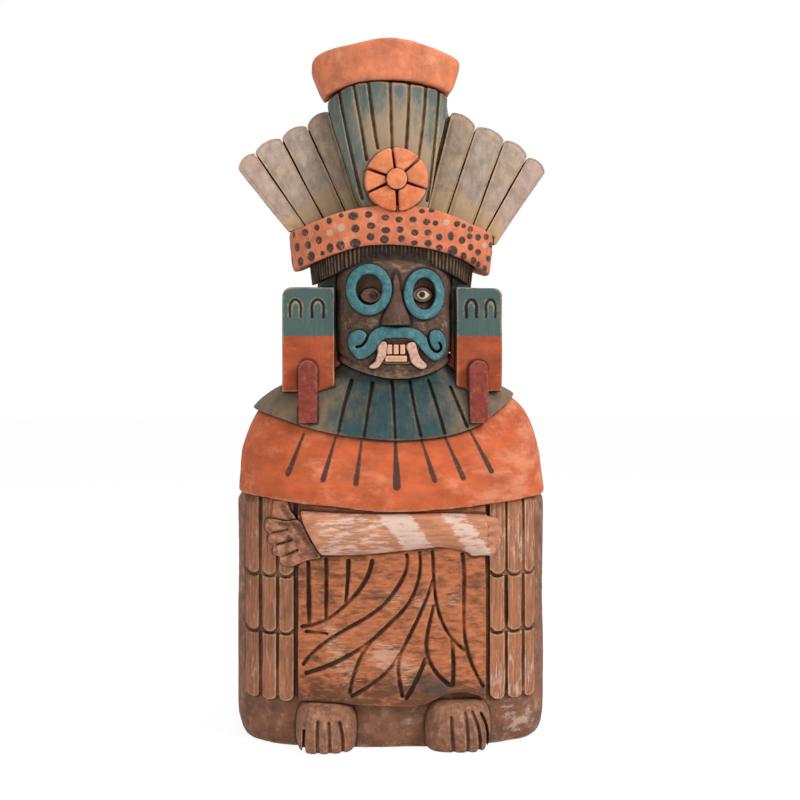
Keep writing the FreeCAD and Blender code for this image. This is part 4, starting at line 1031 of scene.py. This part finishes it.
class FIGURE_OT_stage(FigureOperator):
    """White floor and background, soft lamps and the camera"""
    bl_idname = "figure.stage"
    bl_label = "Stage"

    def lamp(self, name, place, size, power):
        light = bpy.data.lights.new(name, "AREA")
        light.shape = "SQUARE"
        light.size = size
        light.energy = power
        lamp = bpy.data.objects.new(name, light)
        lamp.location = place
        lamp.rotation_euler = (Vector((0, 0, 0.2)) - Vector(place)).to_track_quat("-Z", "Y").to_euler()
        bpy.context.scene.collection.objects.link(lamp)

    def seen_ray(self, tree):
        """1 for rays that show the backdrop to the camera, straight or mirrored."""
        rays = add_node(tree, "ShaderNodeLightPath", {}).outputs
        total = rays["Is Camera Ray"]
        for other in ("Is Glossy Ray", "Is Transmission Ray"):
            plus = add_node(tree, "ShaderNodeMath", {0: total, 1: rays[other]}, use_clamp=True)
            total = plus.outputs[0]
        return total

    def execute(self, context):
        scene = context.scene
        scene.view_settings.view_transform = "Standard"
        white = (*paints().backdrop, 1.0)

        shape = bmesh.new()
        bmesh.ops.create_grid(shape, x_segments=1, y_segments=1, size=4.0)
        mesh = bpy.data.meshes.new("floor")
        shape.to_mesh(mesh)
        shape.free()
        floor = bpy.data.objects.new("floor", mesh)
        scene.collection.objects.link(floor)
        material = bpy.data.materials.new("White floor")
        material.use_nodes = True
        tree = material.node_tree
        tree.nodes.clear()
        matt = add_node(tree, "ShaderNodeBsdfDiffuse", {"Color": (0.85, 0.85, 0.85, 1.0)})
        glow = add_node(tree, "ShaderNodeEmission", {"Color": white, "Strength": 1.12})
        share = add_node(tree, "ShaderNodeMath", {0: self.seen_ray(tree), 1: 0.8}, operation="MULTIPLY")
        mix = add_node(tree, "ShaderNodeMixShader",
                       {0: share.outputs[0], 1: matt.outputs[0], 2: glow.outputs[0]})
        add_node(tree, "ShaderNodeOutputMaterial", {"Surface": mix.outputs[0]})
        mesh.materials.append(material)

        world = bpy.data.worlds.new("Studio")
        scene.world = world
        world.use_nodes = True
        tree = world.node_tree
        back = tree.nodes["Background"]
        back.inputs["Color"].default_value = white
        level = add_node(tree, "ShaderNodeMapRange",
                         {"Value": self.seen_ray(tree), "To Min": 0.48, "To Max": 1.0})
        tree.links.new(level.outputs["Result"], back.inputs["Strength"])

        self.lamp("key", (1.1, -1.3, 1.2), 0.7, 20.0)
        self.lamp("fill", (-1.2, -1.4, 0.6), 1.0, 4.0)
        self.lamp("top", (0.1, -0.2, 1.6), 0.7, 7.0)

        lens = bpy.data.cameras.new("camera")
        lens.sensor_width = sensor_width
        lens.lens = view_scale / image_width * sensor_width
        camera = bpy.data.objects.new("camera", lens)
        scene.collection.objects.link(camera)
        camera.location = (view_distance * MM * math.sin(view_turn),
                           -view_distance * MM * math.cos(view_turn), view_height * MM)
        camera.rotation_euler = (math.pi / 2, 0.0, view_turn)
        lens.shift_x = 0.5 - view_middle[0] / image_width
        lens.shift_y = view_middle[1] / image_width - 0.5
        scene.camera = camera
        return {"FINISHED"}


pieces = (FIGURE_OT_body, FIGURE_OT_robe, FIGURE_OT_wings, FIGURE_OT_cape, FIGURE_OT_collar, FIGURE_OT_arms,
          FIGURE_OT_feet, FIGURE_OT_head, FIGURE_OT_goggles, FIGURE_OT_eyes, FIGURE_OT_mouth, FIGURE_OT_hair,
          FIGURE_OT_headband, FIGURE_OT_plumes, FIGURE_OT_crest, FIGURE_OT_rosette, FIGURE_OT_ears,
          FIGURE_OT_stage)


class FIGURE_PT_panel(bpy.types.Panel):
    """Buttons and settings of the figure"""
    bl_idname = "FIGURE_PT_panel"
    bl_label = "Rain God"
    bl_space_type = "VIEW_3D"
    bl_region_type = "UI"
    bl_category = "Rain God"

    def draw(self, context):
        for piece in pieces:
            self.layout.operator(piece.bl_idname)
        for group in (context.scene.figure_sizes, context.scene.figure_paints):
            box = self.layout.box()
            for key in group.__annotations__:
                box.prop(group, key)


classes = (FigureSizes, FigurePaints, *pieces, FIGURE_PT_panel)


def register():
    for entry in classes:
        bpy.utils.register_class(entry)
    bpy.types.Scene.figure_sizes = bpy.props.PointerProperty(type=FigureSizes)
    bpy.types.Scene.figure_paints = bpy.props.PointerProperty(type=FigurePaints)


def unregister():
    del bpy.types.Scene.figure_paints
    del bpy.types.Scene.figure_sizes
    for entry in reversed(classes):
        bpy.utils.unregister_class(entry)


def main():
    register()
    for piece in pieces:
        group, name = piece.bl_idname.split(".")
        getattr(getattr(bpy.ops, group), name)()


if __name__ == "__main__":
    main()
